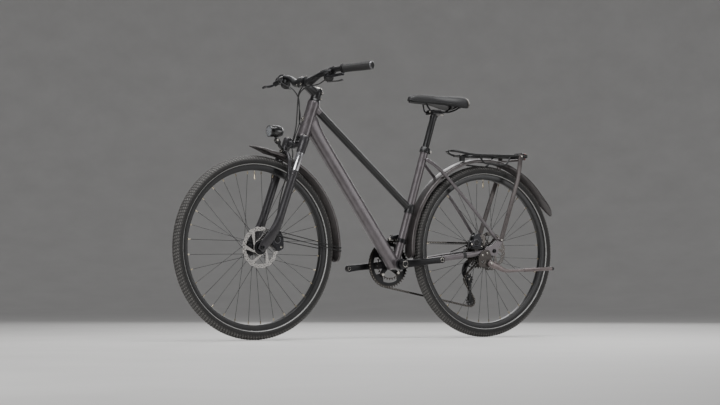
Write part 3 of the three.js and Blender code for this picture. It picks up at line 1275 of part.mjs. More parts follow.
const grip = { length: 130, bore: grasp.endRadius + 2 * gap, flange: 18.5, waist: 15.4, radius: 16.6, cap: 6 };
function makeGrip(side) {
  const [inner, end] = barPoints(side).slice(-2);
  const back = inner.clone().sub(end).normalize();
  const start = end.clone().addScaledVector(back, grip.length);
  const { length, bore, flange, waist, radius, cap } = grip;
  const profile = [
    [bore, 0], [flange, 0], [flange, cap / 2], [waist, cap * 1.5], [radius, length * 0.72],
    [radius, length + cap * 0.6], [radius * 0.7, length + cap], [0, length + cap], [0, length + gap], [bore, length + gap],
    [bore, 0],
  ];
  return turned(profile, start, end.clone().sub(start), 10);
}

// Bar controls, placed by distance outward along the bar, ahead of it and above it
const controlAt = [-21, 159, 30.5]; // from the middle of the bar
const lever = { tilt: 38.5 * degree, pivot: [22, 43, 4], bossRadius: 9, bossHalf: 5, pinRadius: 2.6, ear: 3.2 };
const shiftPivot = { along: -5, ahead: 3, radius: 9, pinRadius: 3, top: -36.5, thickness: 5 };

function controlFrame(side) {
  const origin = fromBar(controlAt[0], side * controlAt[1], controlAt[2]);
  const [, b, c] = barPoints(side);
  const outward = c.clone().sub(b).normalize();
  const ahead = at(1, 0, 0).addScaledVector(outward, -outward.x).normalize();
  const up = ahead.clone().cross(outward).multiplyScalar(side);
  const pull = ahead.clone().multiplyScalar(Math.cos(lever.tilt)).addScaledVector(up, -Math.sin(lever.tilt));
  const level = ahead.clone().multiplyScalar(Math.sin(lever.tilt)).addScaledVector(up, Math.cos(lever.tilt));
  const place = (x, y, z) => origin.clone().addScaledVector(outward, x).addScaledVector(ahead, y).addScaledVector(up, z);
  const reach = (x, y, z) => origin.clone().addScaledVector(outward, x).addScaledVector(pull, y).addScaledVector(level, z);
  return { place, reach, outward, up, level };
}

function makeBrakeLever(side) {
  const { reach, level } = controlFrame(side);
  const [x, y, z] = lever.pivot;
  const boss = bar(reach(x, y, z - lever.bossHalf), reach(x, y, z + lever.bossHalf), lever.bossRadius, 10);
  const path = [reach(x, y, z), reach(x + 10, y + 15, z + 0.5), reach(60, 64, z), reach(96, 60, 0), reach(124, 62, -3)];
  const blade = limb(path, [[4, 7], [4.6, 5], [5.5, 3.6], [5.5, 3.4], [5, 3.4]], { side: level, sides: 6 });
  const hole = bar(reach(x, y, z - overrun * 2), reach(x, y, z + overrun * 2), lever.pinRadius + gap, 8);
  return cut(join(boss, blade), hole);
}

function makeShiftLever(side) {
  const { place, up } = controlFrame(side);
  const { along, ahead, radius, pinRadius, top, thickness } = shiftPivot;
  const middle = top - gap - thickness / 2;
  const boss = bar(place(along, ahead, top - gap - thickness), place(along, ahead, top - gap), radius, 10);
  const path = [place(along, ahead, middle), place(12, -22, middle), place(33, -34, middle + 3)];
  const paddle = limb(path, [[thickness / 2 - gap, 7], [2.2, 7], [2.2, 8]], { side: up, sides: 6 });
  const hole = bar(place(along, ahead, top - overrun * 3), place(along, ahead, top), pinRadius + gap, 8);
  return cut(join(boss, paddle), hole);
}

function makeControl(side) {
  const { place, reach, level } = controlFrame(side);
  const [x, y, z] = lever.pivot;
  const clamp = bar(place(6, 0, 0), place(24, 0, 0), 15, 10);
  const cylinder = limb([place(22, 17, -6), place(-4, 27, -10), place(-36, 38, -14)], [[10, 11], [11, 12], [8, 8]], { side: level, sides: 8 });
  const lugHalf = lever.bossHalf + gap + lever.ear;
  const lug = limb([reach(2, 22, z + 2), reach(x + 6, y + 6, z)], [lugHalf * 1.3, lever.bossRadius * 1.3], { side: level, sides: 4 });
  const slot = bar(reach(x, y, z - lever.bossHalf - gap), reach(x, y, z + lever.bossHalf + gap), lever.bossRadius + 2, 8);
  const pin = bar(reach(x, y, z - lugHalf), reach(x, y, z + lugHalf), lever.pinRadius, 6);
  const bladeRoom = limb(
    [reach(x, y, z), reach(x + 22, y + 26, z), reach(x + 60, y + 12, z)],
    [[7.5, 13], [7.5, 17], [7.5, 17]],
    { side: level, sides: 4 },
  );
  const pod = limb(
    [place(-5, 1, -8), place(-5, 4, -24), place(-5, 4, shiftPivot.top)],
    [[14, 15], [16, 18], [12, 15]],
    { side: lateral, sides: 6 },
  );
  const { along, ahead, pinRadius, top, thickness } = shiftPivot;
  const post = bar(place(along, ahead, top - thickness - 4 * gap), place(along, ahead, top + 2), pinRadius, 6);
  const barRoom = bar(place(-60, 0, 0), place(60, 0, 0), grasp.endRadius + 2 * gap, 10);
  return join(cut(join(clamp, cylinder, lug, pod), slot, bladeRoom, barRoom), pin, post);
}

// Cord points from the middle of the bar, and for the lower end of the front hose from the front axle
const rightCable = [[36, -84, -4], [24, -44, -22], [9, -23, -58], [5, -20, -108], [-2, -29, -158], [-30, -34, -193], [-82, -26, -232]];
const leftCable = [[-4, 104, -16], [15, 56, -22], [18, 8, -40], [11, -19, -63], [5, -21, -98]];
const lampCable = [[8, -20, -88], [12, -2, -128], [24, 6, -168], [40, 6, -209], [58, 6, -251], [78, 6, -264]];
const hoseUpper = [[36, 70, -14], [38, 28, -46], [38, 20, -78], [46, 20, -176], [67, 24, -256]];
const hoseLower = [[-150, 37, 360], [-126, 38.5, 294], [-96, 39, 204], [-77, 41, 114], [-71, 45, 72]];
const hoseStart = [[-36.8, 38.3, -14.1], [-50, 43, -16]]; // from the control: along, ahead, up
const podCableStart = [-20.2, 5, -28];

function makeCables() {
  const run = (points) => points.map(([x, y, z]) => fromBar(x, y, z));
  const rightRun = [...hoseStart.map((p) => controlFrame(right).place(...p)), ...run(rightCable)];
  const leftRun = [controlFrame(left).place(...podCableStart), ...run(leftCable)];
  return join(cord(rightRun, 2.7, 15), cord(leftRun, 2.4, 9), cord(run(lampCable), 1.8, 9));
}

function makeFrontHose() {
  const upper = [...hoseStart.map((p) => controlFrame(left).place(...p)), ...hoseUpper.map((p) => fromBar(...p))];
  const lower = hoseLower.map(([x, y, z]) => frontAxleAt.clone().add(at(x, y, z)));
  return cord([...upper, ...lower], hoseRadius, 20);
}

add(steering, 'stem', makeStem(), satinBlack);
add(steering, 'handlebar', makeHandlebar(), satinBlack);
for (const [name, side] of [['left', left], ['right', right]]) {
  add(steering, `grip_${name}`, makeGrip(side), softBlack);
  add(steering, `control_${name}`, makeControl(side), castBlack);
  add(steering, `brake_lever_${name}`, makeBrakeLever(side), satinBlack);
  add(steering, `shift_lever_${name}`, makeShiftLever(side), softBlack);
}
add(steering, 'control_cables', makeCables(), softBlack);
add(lowers, 'front_brake_hose', makeFrontHose(), softBlack);

// The origin goes under the middle of the outline, from the front tyre to the rear guard's end.
const rearReach = -(guardRadius + guardFlare.rear) * Math.cos(guardEnd);
bike.position.x = (rearReach - wheelbase - tyre.radius) / 2;

export default bike;
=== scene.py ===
"""A step-through trekking bicycle as the eye sees it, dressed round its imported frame.

Lengths are millimetres from the rear axle's foot on the floor: X is the way it rides, Y its left, Z up.
A profile lists [radius, height] about an axis; sizes list [half width, half height] at the points of a path.
"""

import math

import bmesh
import bpy
import numpy as np
from mathutils import Matrix, Vector
from mathutils.geometry import delaunay_2d_cdt

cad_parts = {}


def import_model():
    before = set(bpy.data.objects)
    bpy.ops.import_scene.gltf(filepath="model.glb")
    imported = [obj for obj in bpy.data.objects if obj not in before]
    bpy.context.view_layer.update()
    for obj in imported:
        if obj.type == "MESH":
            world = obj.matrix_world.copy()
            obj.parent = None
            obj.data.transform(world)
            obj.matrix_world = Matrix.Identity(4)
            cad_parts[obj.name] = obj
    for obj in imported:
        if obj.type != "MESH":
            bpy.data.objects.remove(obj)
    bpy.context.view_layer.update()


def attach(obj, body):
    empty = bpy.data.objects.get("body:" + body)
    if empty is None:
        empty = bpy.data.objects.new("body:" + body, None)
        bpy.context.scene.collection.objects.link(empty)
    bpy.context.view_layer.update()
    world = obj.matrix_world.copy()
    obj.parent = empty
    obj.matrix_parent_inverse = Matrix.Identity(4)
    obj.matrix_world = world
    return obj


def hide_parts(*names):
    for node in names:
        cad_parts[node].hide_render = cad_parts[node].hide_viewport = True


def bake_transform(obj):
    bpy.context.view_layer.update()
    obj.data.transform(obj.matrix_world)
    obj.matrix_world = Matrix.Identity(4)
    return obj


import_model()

METRE = 0.001
ORIGIN_AHEAD = 550.74  # the frame's origin is this far ahead of the rear axle
LEFT, RIGHT = 1, -1
SIDES = (("left", LEFT), ("right", RIGHT))
X, Y, Z = np.eye(3)
IN_PLANE = [1, 0, 1]  # takes a point to the bicycle's middle plane

# Places of the bicycle

REAR_AXLE = np.array([0.0, 0.0, 356.0])
FRONT_AXLE = np.array([1110.0, 0.0, 356.0])
SHELL = np.array([448.0, 0.0, 298.0])
HEAD_ANGLE = math.radians(70)
SEAT_ANGLE = math.radians(72.4)
FORK_OFFSET = 58
STEER_UP = np.array([-math.cos(HEAD_ANGLE), 0, math.sin(HEAD_ANGLE)])
STEER_FORE = np.array([math.sin(HEAD_ANGLE), 0, math.cos(HEAD_ANGLE)])
STEER_FOOT = FRONT_AXLE - FORK_OFFSET * STEER_FORE
SEAT_UP = np.array([-math.cos(SEAT_ANGLE), 0, math.sin(SEAT_ANGLE)])
SEAT_FORE = np.array([math.sin(SEAT_ANGLE), 0, math.cos(SEAT_ANGLE)])


def steer(height, fore=0.0, side=0.0):
    """A point along the steering axis over the front axle, ahead of it and to the side."""
    return STEER_FOOT + height * STEER_UP + fore * STEER_FORE + side * Y


def seat(height, fore=0.0, side=0.0):
    """A point along the seat tube over the bottom bracket, ahead of it and to the side."""
    return SHELL + height * SEAT_UP + fore * SEAT_FORE + side * Y


def world(point):
    """A point or an array of points in metres from the frame's origin."""
    return (np.asarray(point) - [ORIGIN_AHEAD, 0, 0]) * METRE


def unit(vector):
    """The vector over its length."""
    return np.asarray(vector, float) / np.linalg.norm(vector)


def spots(*places):
    """Points as the rows of one array."""
    return np.array(places, float)


def polar(radius, angle):
    """Points of a plane at r cos a, r sin a; either may be an array."""
    return np.stack([radius * np.cos(angle), radius * np.sin(angle)], -1)


def ring_points(radius, count, start=0.0, centre=(0.0, 0.0)):
    """Even points of a circle in a plane."""
    return polar(radius, start + np.arange(count) * 2 * np.pi / count) + centre


# Camera: the photograph's own view, found from the outlines of both wheels

CAMERA = np.array([5003.27, 6491.31, 168.90])
YAW, TILT = math.radians(34.0331), math.radians(-2.7345)
LENS, SENSOR = 98.19, 36.0


def stand_camera():
    """The camera looks along its yaw and tilt, its own X to the right and its own Z backward."""
    look = np.array([-math.sin(YAW) * math.cos(TILT), -math.cos(YAW) * math.cos(TILT), -math.sin(TILT)])
    right = unit(np.cross(look, Z))
    up = np.cross(right, look)
    camera = bpy.data.objects.new("camera", bpy.data.cameras.new("camera"))
    camera.data.lens, camera.data.sensor_width, camera.data.clip_end = LENS, SENSOR, 100.0
    turn = Matrix([[right[k], up[k], -look[k]] for k in range(3)]).to_4x4()
    camera.matrix_world = Matrix.Translation(Vector(world(CAMERA))) @ turn
    bpy.context.scene.collection.objects.link(camera)
    bpy.context.scene.camera = camera


stand_camera()

# Surfaces: each is a closed shell, a pair of points and a list of face arrays, turned to face outward


def closed(points, *faces):
    """One closed shell, its faces turned outward by the sign of the volume they enclose."""
    points = np.asarray(points, float)
    rel = points - points.mean(0)
    volume = 0.0
    for f in faces:
        for k in range(1, f.shape[1] - 1):
            volume += np.einsum("ij,ij->", rel[f[:, 0]], np.cross(rel[f[:, k]], rel[f[:, k + 1]]))
    return points, list(faces) if volume > 0 else [f[:, ::-1] for f in faces]


def skin(rings, loop=False):
    """Quads through closed rings of points (ring, point, xyz); a fan ends it, or loop joins last to first."""
    n, m = rings.shape[:2]
    row = np.arange(n if loop else n - 1)[:, None]
    col = np.arange(m)[None, :]
    a, b = row * m + col, row * m + (col + 1) % m
    c, d = ((row + 1) % n) * m + (col + 1) % m, ((row + 1) % n) * m + col
    quads = np.stack([a, b, c, d], -1).reshape(-1, 4)
    points = rings.reshape(-1, 3)
    if loop:
        return closed(points, quads)
    edge = np.arange(m)
    after = (edge + 1) % m
    points = np.vstack([points, rings[0].mean(0), rings[-1].mean(0)])
    first = np.stack([np.full(m, n * m), after, edge], -1)
    last = np.stack([np.full(m, n * m + 1), (n - 1) * m + edge, (n - 1) * m + after], -1)
    return closed(points, quads, np.vstack([first, last]))


def outline(sides, power=2.0):
    """A superellipse of unit half widths: the cosine and sine of even angles, drawn out to 2 / power."""
    both = polar(1, (np.arange(sides) + 0.5) * 2 * np.pi / sides)
    return np.sign(both) * np.abs(both) ** (2 / power)


def directions(path, side):
    """Across and up at each point of a path; across is side made square to the path."""
    step = np.diff(path, axis=0)
    step /= np.linalg.norm(step, axis=1)[:, None]
    ahead = np.vstack([step[:1], step[:-1] + step[1:], step[-1:]])
    ahead /= np.linalg.norm(ahead, axis=1)[:, None]
    across = side - ahead * (ahead @ side)[:, None]
    across /= np.linalg.norm(across, axis=1)[:, None]
    return across, np.cross(ahead, across)


def tube(path, half, rise=None, side=Y, sides=24, power=2.0, loop=False):
    """A superellipse of half widths half and rise carried along a path; both may change from point to point."""
    path = np.asarray(path, float)
    across, up = directions(path, side)
    half = np.broadcast_to(np.asarray(half, float), len(path))
    rise = half if rise is None else np.broadcast_to(np.asarray(rise, float), len(path))
    shape = outline(sides, power)
    rings = (path[:, None] + across[:, None] * (half[:, None] * shape[:, 0])[..., None]
             + up[:, None] * (rise[:, None] * shape[:, 1])[..., None])
    return skin(rings, loop)


def domed(path, half, rise=None, dome=0.35, **how):
    """A tube with rounded ends: past each end, four rings shrink as a quarter ellipse."""
    path = np.asarray(path, float)
    half = np.broadcast_to(np.asarray(half, float), len(path))
    rise = half if rise is None else np.broadcast_to(np.asarray(rise, float), len(path))
    turn = np.radians([90, 62, 35, 10])
    shrink, push = np.sin(turn), np.cos(turn)
    ends = []
    for tip, inner in ((0, 1), (-1, -2)):
        out = unit(path[tip] - path[inner]) * min(half[tip], rise[tip]) * dome
        ends.append((path[tip] + push[:, None] * out, half[tip] * shrink, rise[tip] * shrink))
    path, half, rise = (np.concatenate([start[::-1], middle[1:-1], end])
                        for start, middle, end in zip(ends[0], (path, half, rise), ends[1]))
    return tube(path, half, rise, **how)


def smooth_curve(points, steps=8):
    """The centripetal Catmull-Rom curve through points, each span a cubic in its share t from 0 to 1."""
    p = np.asarray(points, float)
    p = np.vstack([2 * p[0] - p[1], p, 2 * p[-1] - p[-2]])
    gap = np.linalg.norm(np.diff(p, axis=0), axis=1) ** 0.5
    g0, g1, g2 = gap[:-2, None], gap[1:-1, None], gap[2:, None]
    a, b, c, d = p[:-3], p[1:-2], p[2:-1], p[3:]
    lead = ((b - a) / g0 - (c - a) / (g0 + g1) + (c - b) / g1) * g1
    trail = ((c - b) / g1 - (d - b) / (g1 + g2) + (d - c) / g2) * g1
    t = (np.arange(steps) / steps)[None, :, None]
    lead, trail, b, c = (v[:, None] for v in (lead, trail, b, c))
    span = b + lead * t + (3 * (c - b) - 2 * lead - trail) * t**2 + (2 * (b - c) + lead + trail) * t**3
    return np.vstack([span.reshape(-1, p.shape[1]), p[-2:-1]])


def limb(points, sizes, steps=6, make=tube, **how):
    """A tube or a domed one whose few points and sizes are eased together on one smooth curve."""
    fine = smooth_curve(np.column_stack([points, sizes]), steps)
    return make(fine[:, :3], fine[:, 3], fine[:, 4], **how)


def turned(profile, origin, axis, steps=48):
    """A profile turned round an axis; it starts and ends on the axis or closes on itself."""
    profile = np.asarray(profile, float)
    axis = unit(axis)
    one = unit(np.cross(axis, Z if abs(axis[2]) < 0.9 else X))
    two = np.cross(axis, one)
    angle = np.arange(steps) * 2 * np.pi / steps
    around = np.cos(angle)[:, None] * one + np.sin(angle)[:, None] * two
    rings = np.asarray(origin, float) + profile[None, :, :1] * around[:, None] + profile[None, :, 1:] * axis
    return skin(rings, loop=True)


def collar(inner, outer, low, high, cut, fall=None):
    """The profile of a ring from low to high, its outer edges chamfered by cut inward and fall along."""
    fall = cut if fall is None else fall
    return [[inner, low], [outer - cut, low], [outer, low + fall], [outer, high - fall], [outer - cut, high],
            [inner, high]]


def rod(start, end, radius, steps=20):
    """A round bar between two points with small chamfers on its ends."""
    along = np.subtract(end, start)
    length = np.linalg.norm(along)
    return turned(collar(0, radius, 0, length, min(0.6, radius * 0.2, length * 0.2)), start, along, steps)


def pipe(start, end, outer, inner, steps=40):
    """A round pipe between two points with small chamfers on its ends."""
    along = np.subtract(end, start)
    edge = min(0.5, (outer - inner) * 0.3)
    return turned(collar(inner, outer, 0, np.linalg.norm(along), edge), start, along, steps)


def bolt(place, axis, radius=4.0, height=3.0):
    """A round bolt head with a socket sunk in its face."""
    inner = radius * 0.5
    profile = [[0, -height], [radius * 0.8, -height], [radius, 0], [radius, height * 0.55], [radius * 0.82, height],
               [inner, height], [inner, height * 0.3], [0, height * 0.3]]
    return turned(profile, place, axis, 18)


def rounded(points, reach, steps=5):
    """A closed outline, each corner cut by a quadratic curve that begins reach before and ends reach after it."""
    p = np.asarray(points, float)
    starts, ends = (p + way * np.minimum(reach / np.linalg.norm(way, axis=1), 0.48)[:, None]
                    for way in (np.roll(p, 1, axis=0) - p, np.roll(p, -1, axis=0) - p))
    t = np.linspace(0, 1, steps)[None, :, None]
    curve = (1 - t) ** 2 * starts[:, None] + 2 * t * (1 - t) * p[:, None] + t**2 * ends[:, None]
    return curve.reshape(-1, p.shape[1])


def bent(points, reach, steps=7):
    """An open path whose inner corners are rounded in the same way."""
    p = np.asarray(points, float)
    curve = rounded(p, reach, steps).reshape(len(p), steps, p.shape[1])
    return np.vstack([p[:1], curve[1:-1].reshape(-1, p.shape[1]), p[-1:]])


def flat_plate(loops, low, high, place=None):
    """A plate from loops in its plane, the first its edge and the rest its holes, filled by Delaunay triangles.

    Its plane is X-Z and its thickness runs from low to high along Y, unless place maps the points elsewhere.
    A triangle is kept where its centre lies inside an odd number of loops.
    """
    loops = [np.asarray(loop, float) for loop in loops]
    starts = np.cumsum([0] + [len(loop) for loop in loops])
    edges = [(int(s + k), int(s + (k + 1) % len(loop))) for s, loop in zip(starts, loops) for k in range(len(loop))]
    made = delaunay_2d_cdt([Vector(p) for p in np.vstack(loops)], edges, [], 0, 1e-7)
    points = np.array([list(p) for p in made[0]])
    triangles = np.array([f for f in made[2] if len(f) == 3])
    centres = points[triangles].mean(1)
    inside = np.zeros(len(centres), bool)
    for a in loops:
        b = np.roll(a, -1, axis=0)
        y = centres[:, 1:]
        crosses = (a[:, 1] > y) != (b[:, 1] > y)
        with np.errstate(divide="ignore", invalid="ignore"):
            at = a[:, 0] + (y - a[:, 1]) * (b[:, 0] - a[:, 0]) / (b[:, 1] - a[:, 1])
        inside ^= (crosses & (centres[:, :1] < at)).sum(1) % 2 == 1
    triangles = triangles[inside]
    count = len(points)
    directed = np.vstack([triangles[:, [0, 1]], triangles[:, [1, 2]], triangles[:, [2, 0]]])
    _, first, times = np.unique(np.sort(directed, axis=1), axis=0, return_index=True, return_counts=True)
    rim = directed[first[times == 1]]
    walls = np.column_stack([rim[:, 1], rim[:, 0], rim[:, 0] + count, rim[:, 1] + count])
    xz = np.vstack([points, points])
    solid = np.column_stack([xz[:, 0], np.repeat([low, high], count), xz[:, 1]])
    return closed(solid if place is None else place(solid), np.vstack([triangles, triangles[:, ::-1] + count]), walls)


def side_on(points):
    """Turns a plate to face ahead and back."""
    return points[:, [1, 0, 2]]


def moved(shell, by):
    """The shell, shifted."""
    return shell[0] + np.asarray(by, float), shell[1]


def all_moved(shells, by):
    """Each of the shells, shifted."""
    return [moved(shell, by) for shell in shells]


def mirrored(shells):
    """The same shells on the other side of the bicycle, their faces turned back outward."""
    return [(points * [1, -1, 1], [f[:, ::-1] for f in faces]) for points, faces in shells]


# Materials: object coordinates are metres, so a pattern's scale is one over its size in metres


def linear(hex_colour):
    """sRGB hex to the linear colour that a shader takes."""
    value = np.array([int(hex_colour[k:k + 2], 16) for k in (0, 2, 4)]) / 255
    return (*np.where(value <= 0.04045, value / 12.92, ((value + 0.055) / 1.055) ** 2.4), 1.0)


def add_node(tree, kind, settings=(), links=()):
    """One node with its settings, by attribute or by socket, and links from (node, output) to its sockets."""
    made = tree.nodes.new(kind)
    for key, value in dict(settings).items():
        if isinstance(key, str) and hasattr(made, key):
            setattr(made, key, value)
        else:
            made.inputs[key].default_value = value
    for socket, (source, output) in dict(links).items():
        tree.links.new(source.outputs[output], made.inputs[socket])
    return made


def finish(name, dark, light, rough, metal=0.0, size=12.0, grain=0.6, bump=0.02, spread=0.08, **shader):
    """A surface whose colour runs between two shades over patches of size mm; a grain, in mm, roughens it."""
    material = bpy.data.materials.new(name)
    material.use_nodes = True
    tree = material.node_tree
    principled = tree.nodes["Principled BSDF"]
    where = add_node(tree, "ShaderNodeTexCoord")
    patches = add_node(tree, "ShaderNodeTexNoise", {"Scale": 1000 / size, "Detail": 4.0, "Roughness": 0.6},
                       {"Vector": (where, "Object")})
    ramp = add_node(tree, "ShaderNodeValToRGB", (), {"Fac": (patches, "Fac")})
    for stop, position, shade in zip(ramp.color_ramp.elements, (0.3, 0.7), (dark, light)):
        stop.position, stop.color = position, linear(shade)
    fine = add_node(tree, "ShaderNodeTexNoise", {"Scale": 1000 / grain, "Detail": 2.0}, {"Vector": (where, "Object")})
    gloss = add_node(tree, "ShaderNodeMapRange", {"To Min": rough - spread, "To Max": rough + spread},
                     {"Value": (patches, "Fac")})
    relief = add_node(tree, "ShaderNodeBump", {"Strength": 0.35, "Distance": bump * METRE}, {"Height": (fine, "Fac")})
    tree.links.new(ramp.outputs["Color"], principled.inputs["Base Color"])
    tree.links.new(gloss.outputs["Result"], principled.inputs["Roughness"])
    tree.links.new(relief.outputs["Normal"], principled.inputs["Normal"])
    principled.inputs["Metallic"].default_value = metal
    for socket, value in shader.items():
        socket = "IOR" if socket == "ior" else socket.replace("_", " ").title()
        principled.inputs[socket].default_value = value
    return material


# Satin metallic enamel over aluminium: flakes give a soft broad sheen under a thin clear coat
FRAME_PAINT = finish("satin_enamel_graphite", "5e595b", "6e696c", 0.36, metal=0.75, size=34, grain=2.2, bump=0.006,
                     coat_weight=0.25, coat_roughness=0.28)
# Satin black enamel: darker, the same coat
BLACK_PAINT = finish("satin_enamel_black", "111112", "18181a", 0.34, metal=0.2, size=40, grain=2.0, bump=0.01,
                     coat_weight=0.2, coat_roughness=0.3)
# Powder coated steel or aluminium: a fine orange peel
POWDER_BLACK = finish("powder_coat_black", "0e0e0f", "171718", 0.42, metal=0.1, size=22, grain=0.9, bump=0.05)
# Painted cast magnesium of the fork's lowers: a dark satin with a little metal in it
FORK_PAINT = finish("enamelled_magnesium", "323133", "3d3b3e", 0.34, metal=0.45, size=26, grain=2.0, bump=0.01,
                    coat_weight=0.3, coat_roughness=0.26)
# Hard chromed steel of the stanchions: a mirror, hardly dulled by its hone marks
CHROME = finish("chromed_steel", "c8c8cc", "dcdce0", 0.09, metal=1.0, size=30, grain=0.8, bump=0.004, spread=0.03)
# Stainless steel of the front disc, freshly ground: bright, with a fine grain
GROUND_STEEL = finish("ground_stainless", "969390", "bebbb8", 0.32, metal=1.0, size=4, grain=0.6, bump=0.02,
                      spread=0.1)
# The rear disc: the same ground stainless as the front one, in darker colours
REAR_DISC_STEEL = finish("darker_ground_stainless", "4c4947", "6e6a67", 0.34, metal=1.0, size=4, grain=0.6, bump=0.02,
                      spread=0.1)
# Hardened chain and sprocket steel: a film of oil darkens it in small patches
OILED_STEEL = finish("oiled_steel", "2c2a28", "4c4845", 0.36, metal=0.9, size=3, grain=0.4, bump=0.02, spread=0.12)
# Zinc plated steel of bolts and pins: bright and a little warm
BRIGHT_STEEL = finish("bright_steel", "8e8b86", "b4b0aa", 0.26, metal=1.0, size=6, grain=0.4, bump=0.01)
# Nickelled brass of nipples and valves: a pale warm shine
NIPPLE_BRASS = finish("nickelled_brass", "a2967e", "cfc4ac", 0.22, metal=1.0, size=4, grain=0.4, bump=0.005)
# Forged aluminium of the stand, painted warm grey
STAND_PAINT = finish("enamelled_forging", "605959", "7b7170", 0.36, metal=0.6, size=16, grain=1.6, bump=0.02)
# Natural rubber with carbon black; mould release leaves it dull
TYRE_RUBBER = finish("vulcanised_rubber", "121111", "1e1d1c", 0.62, size=9, grain=0.7, bump=0.06, spread=0.1)


def paint_tread_highlight(material):
    """Painted highlight on the tread: the attribute tread, 0 to 1, lightens the rubber toward grey on the block tops.
    """
    tree = material.node_tree
    base = tree.nodes["Principled BSDF"].inputs["Base Color"]
    rubber = base.links[0].from_socket
    height = add_node(tree, "ShaderNodeAttribute", {"attribute_name": "tread"})
    highlit_tops = add_node(tree, "ShaderNodeMix", {"data_type": "RGBA", 7: linear("62605e")}, {0: (height, "Fac")})
    tree.links.new(rubber, highlit_tops.inputs[6])
    tree.links.new(highlit_tops.outputs[2], base)


paint_tread_highlight(TYRE_RUBBER)
# Reflecting band on the tyre's flank: a fine woven grey with a soft sheen
REFLEX_BAND = finish("reflecting_band", "838382", "9c9c9b", 0.36, size=8, grain=0.5, bump=0.02, sheen_weight=0.3)
# Moulded rubber of grips and seals: matt, like the tyre but cleaner
GRIP_RUBBER = finish("moulded_grip_rubber", "121213", "1b1b1c", 0.62, size=6, grain=0.7, bump=0.06)
# Glass filled nylon of the controls: fine spark eroded grain
NYLON = finish("glass_filled_nylon", "101011", "181819", 0.5, size=8, grain=0.6, bump=0.05)
# Cast aluminium, anodised black: a dark metal sheen over a fine cast skin
CAST_ALLOY = finish("anodised_cast_alloy", "161617", "232325", 0.34, metal=0.6, size=10, grain=0.5, bump=0.02)
# Bare aluminium of the grips' end rings and the calipers' piston rings under a thin grey anodising
SATIN_ALLOY = finish("satin_grey_alloy", "5c5c5e", "727274", 0.3, metal=1.0, size=6, grain=0.5, bump=0.01)
# Forged brake parts: a dark anodising with a soft metal sheen
BRAKE_ALLOY = finish("dark_anodised_forging", "242426", "343437", 0.3, metal=0.85, size=8, grain=0.6, bump=0.02)
# The stand's bracket: the stand's warm grey darkened, painted shade under the stay
BRACKET_PAINT_SHADED = finish("enamelled_bracket_painted_shade", "3a3634", "4a4542", 0.4, metal=0.5, size=10, grain=1.2, bump=0.03)
# Extruded sleeves of hoses and cables: smooth and half matt
HOSE_SLEEVE = finish("extruded_polyurethane", "0d0d0e", "151516", 0.4, size=5, grain=0.5, bump=0.02)
# Enamelled struts of the rack, a shade lighter than the guards
STRUT_PAINT = finish("enamelled_strut", "4f4a4a", "5d5756", 0.36, metal=0.6, size=26, grain=2.0, bump=0.01,
                     coat_weight=0.2, coat_roughness=0.3)
# Enamelled sheet of the guards: the frame's paint, a shade darker
GUARD_PAINT = finish("enamelled_guard_sheet", "464242", "545050", 0.33, metal=0.65, size=34, grain=2.2, bump=0.006,
                     coat_weight=0.2, coat_roughness=0.3)
# Embossed artificial leather of the saddle: a soft grain that catches the light
SADDLE_SKIN = finish("embossed_leatherette", "131314", "1d1d1f", 0.5, size=14, grain=1.1, bump=0.12, spread=0.07)
# The trim round the saddle's tail, its colour lightened as a painted highlight for light falling from behind
SADDLE_TAIL_HIGHLIGHT = finish("saddle_tail_painted_highlight", "6a6660", "7c776f", 0.44, size=14, grain=0.9, bump=0.07)
# Moulded polycarbonate of the lamp's shell: glossy black
LAMP_SHELL = finish("moulded_polycarbonate", "0d0d0e", "161617", 0.2, size=12, grain=0.6, bump=0.006, coat_weight=0.5)
# Vacuum aluminised cup behind the lens: a mirror with a faint ripple
REFLECTOR = finish("aluminised_reflector", "c2c2c6", "e2e2e6", 0.12, metal=1.0, size=6, grain=1.2, bump=0.05)
# Clear polycarbonate lens: glass like, nearly colourless
CLEAR_LENS = finish("clear_polycarbonate", "e4e8ec", "f2f4f6", 0.06, size=10, grain=1.5, bump=0.01, spread=0.02,
                    transmission_weight=0.9, ior=1.58)
# Red acrylic of the tail light: prisms behind it roughen its glow
RED_LENS = finish("red_acrylic", "5c0a0a", "7c100f", 0.16, size=6, grain=2.5, bump=0.15, spread=0.04,
                  transmission_weight=0.25, ior=1.49)
# Painted studio floor: pale and matt
FLOOR_PAINT = finish("pale_studio_floor", "c9c8c6", "d1d0ce", 0.6, size=400, grain=3, bump=0.05)


def piece(name, groups, body, stands_for=(), edge=0.0, sharp=38):
    """A mesh object from groups of (shells, material), standing for CAD nodes.

    It rides on a body; given a tuple (one, other, start, end) instead, it stays in place on no body, the tuple's
    entries not used.
    """
    points, faces, material_of, count = [], [], [], 0
    for index, (shells, _) in enumerate(groups):
        for shell_points, shell_faces in shells:
            points.append(shell_points)
            for f in shell_faces:
                faces.extend((f + count).tolist())
                material_of.extend([index] * len(f))
            count += len(shell_points)
    mesh = bpy.data.meshes.new(name)
    mesh.from_pydata(world(np.vstack(points)).tolist(), [], faces)
    mesh.polygons.foreach_set("material_index", np.array(material_of, np.int32))
    for _, material in groups:
        mesh.materials.append(material)
    merged = bmesh.new()
    merged.from_mesh(mesh)
    bmesh.ops.remove_doubles(merged, verts=merged.verts, dist=2e-6)
    merged.to_mesh(mesh)
    merged.free()
    mesh.polygons.foreach_set("use_smooth", np.ones(len(mesh.polygons), bool))
    mesh.set_sharp_from_angle(angle=math.radians(sharp))
    made = bpy.data.objects.new(name, mesh)
    bpy.context.scene.collection.objects.link(made)
    if edge:
        bevel = made.modifiers.new("edge", "BEVEL")
        bevel.width, bevel.segments = edge * METRE, 2
        bevel.limit_method, bevel.angle_limit = "ANGLE", math.radians(40)
    if isinstance(body, tuple):
        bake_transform(made)
    else:
        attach(made, body)
    if stands_for:
        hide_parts(*stands_for)
    return made


# Wheels

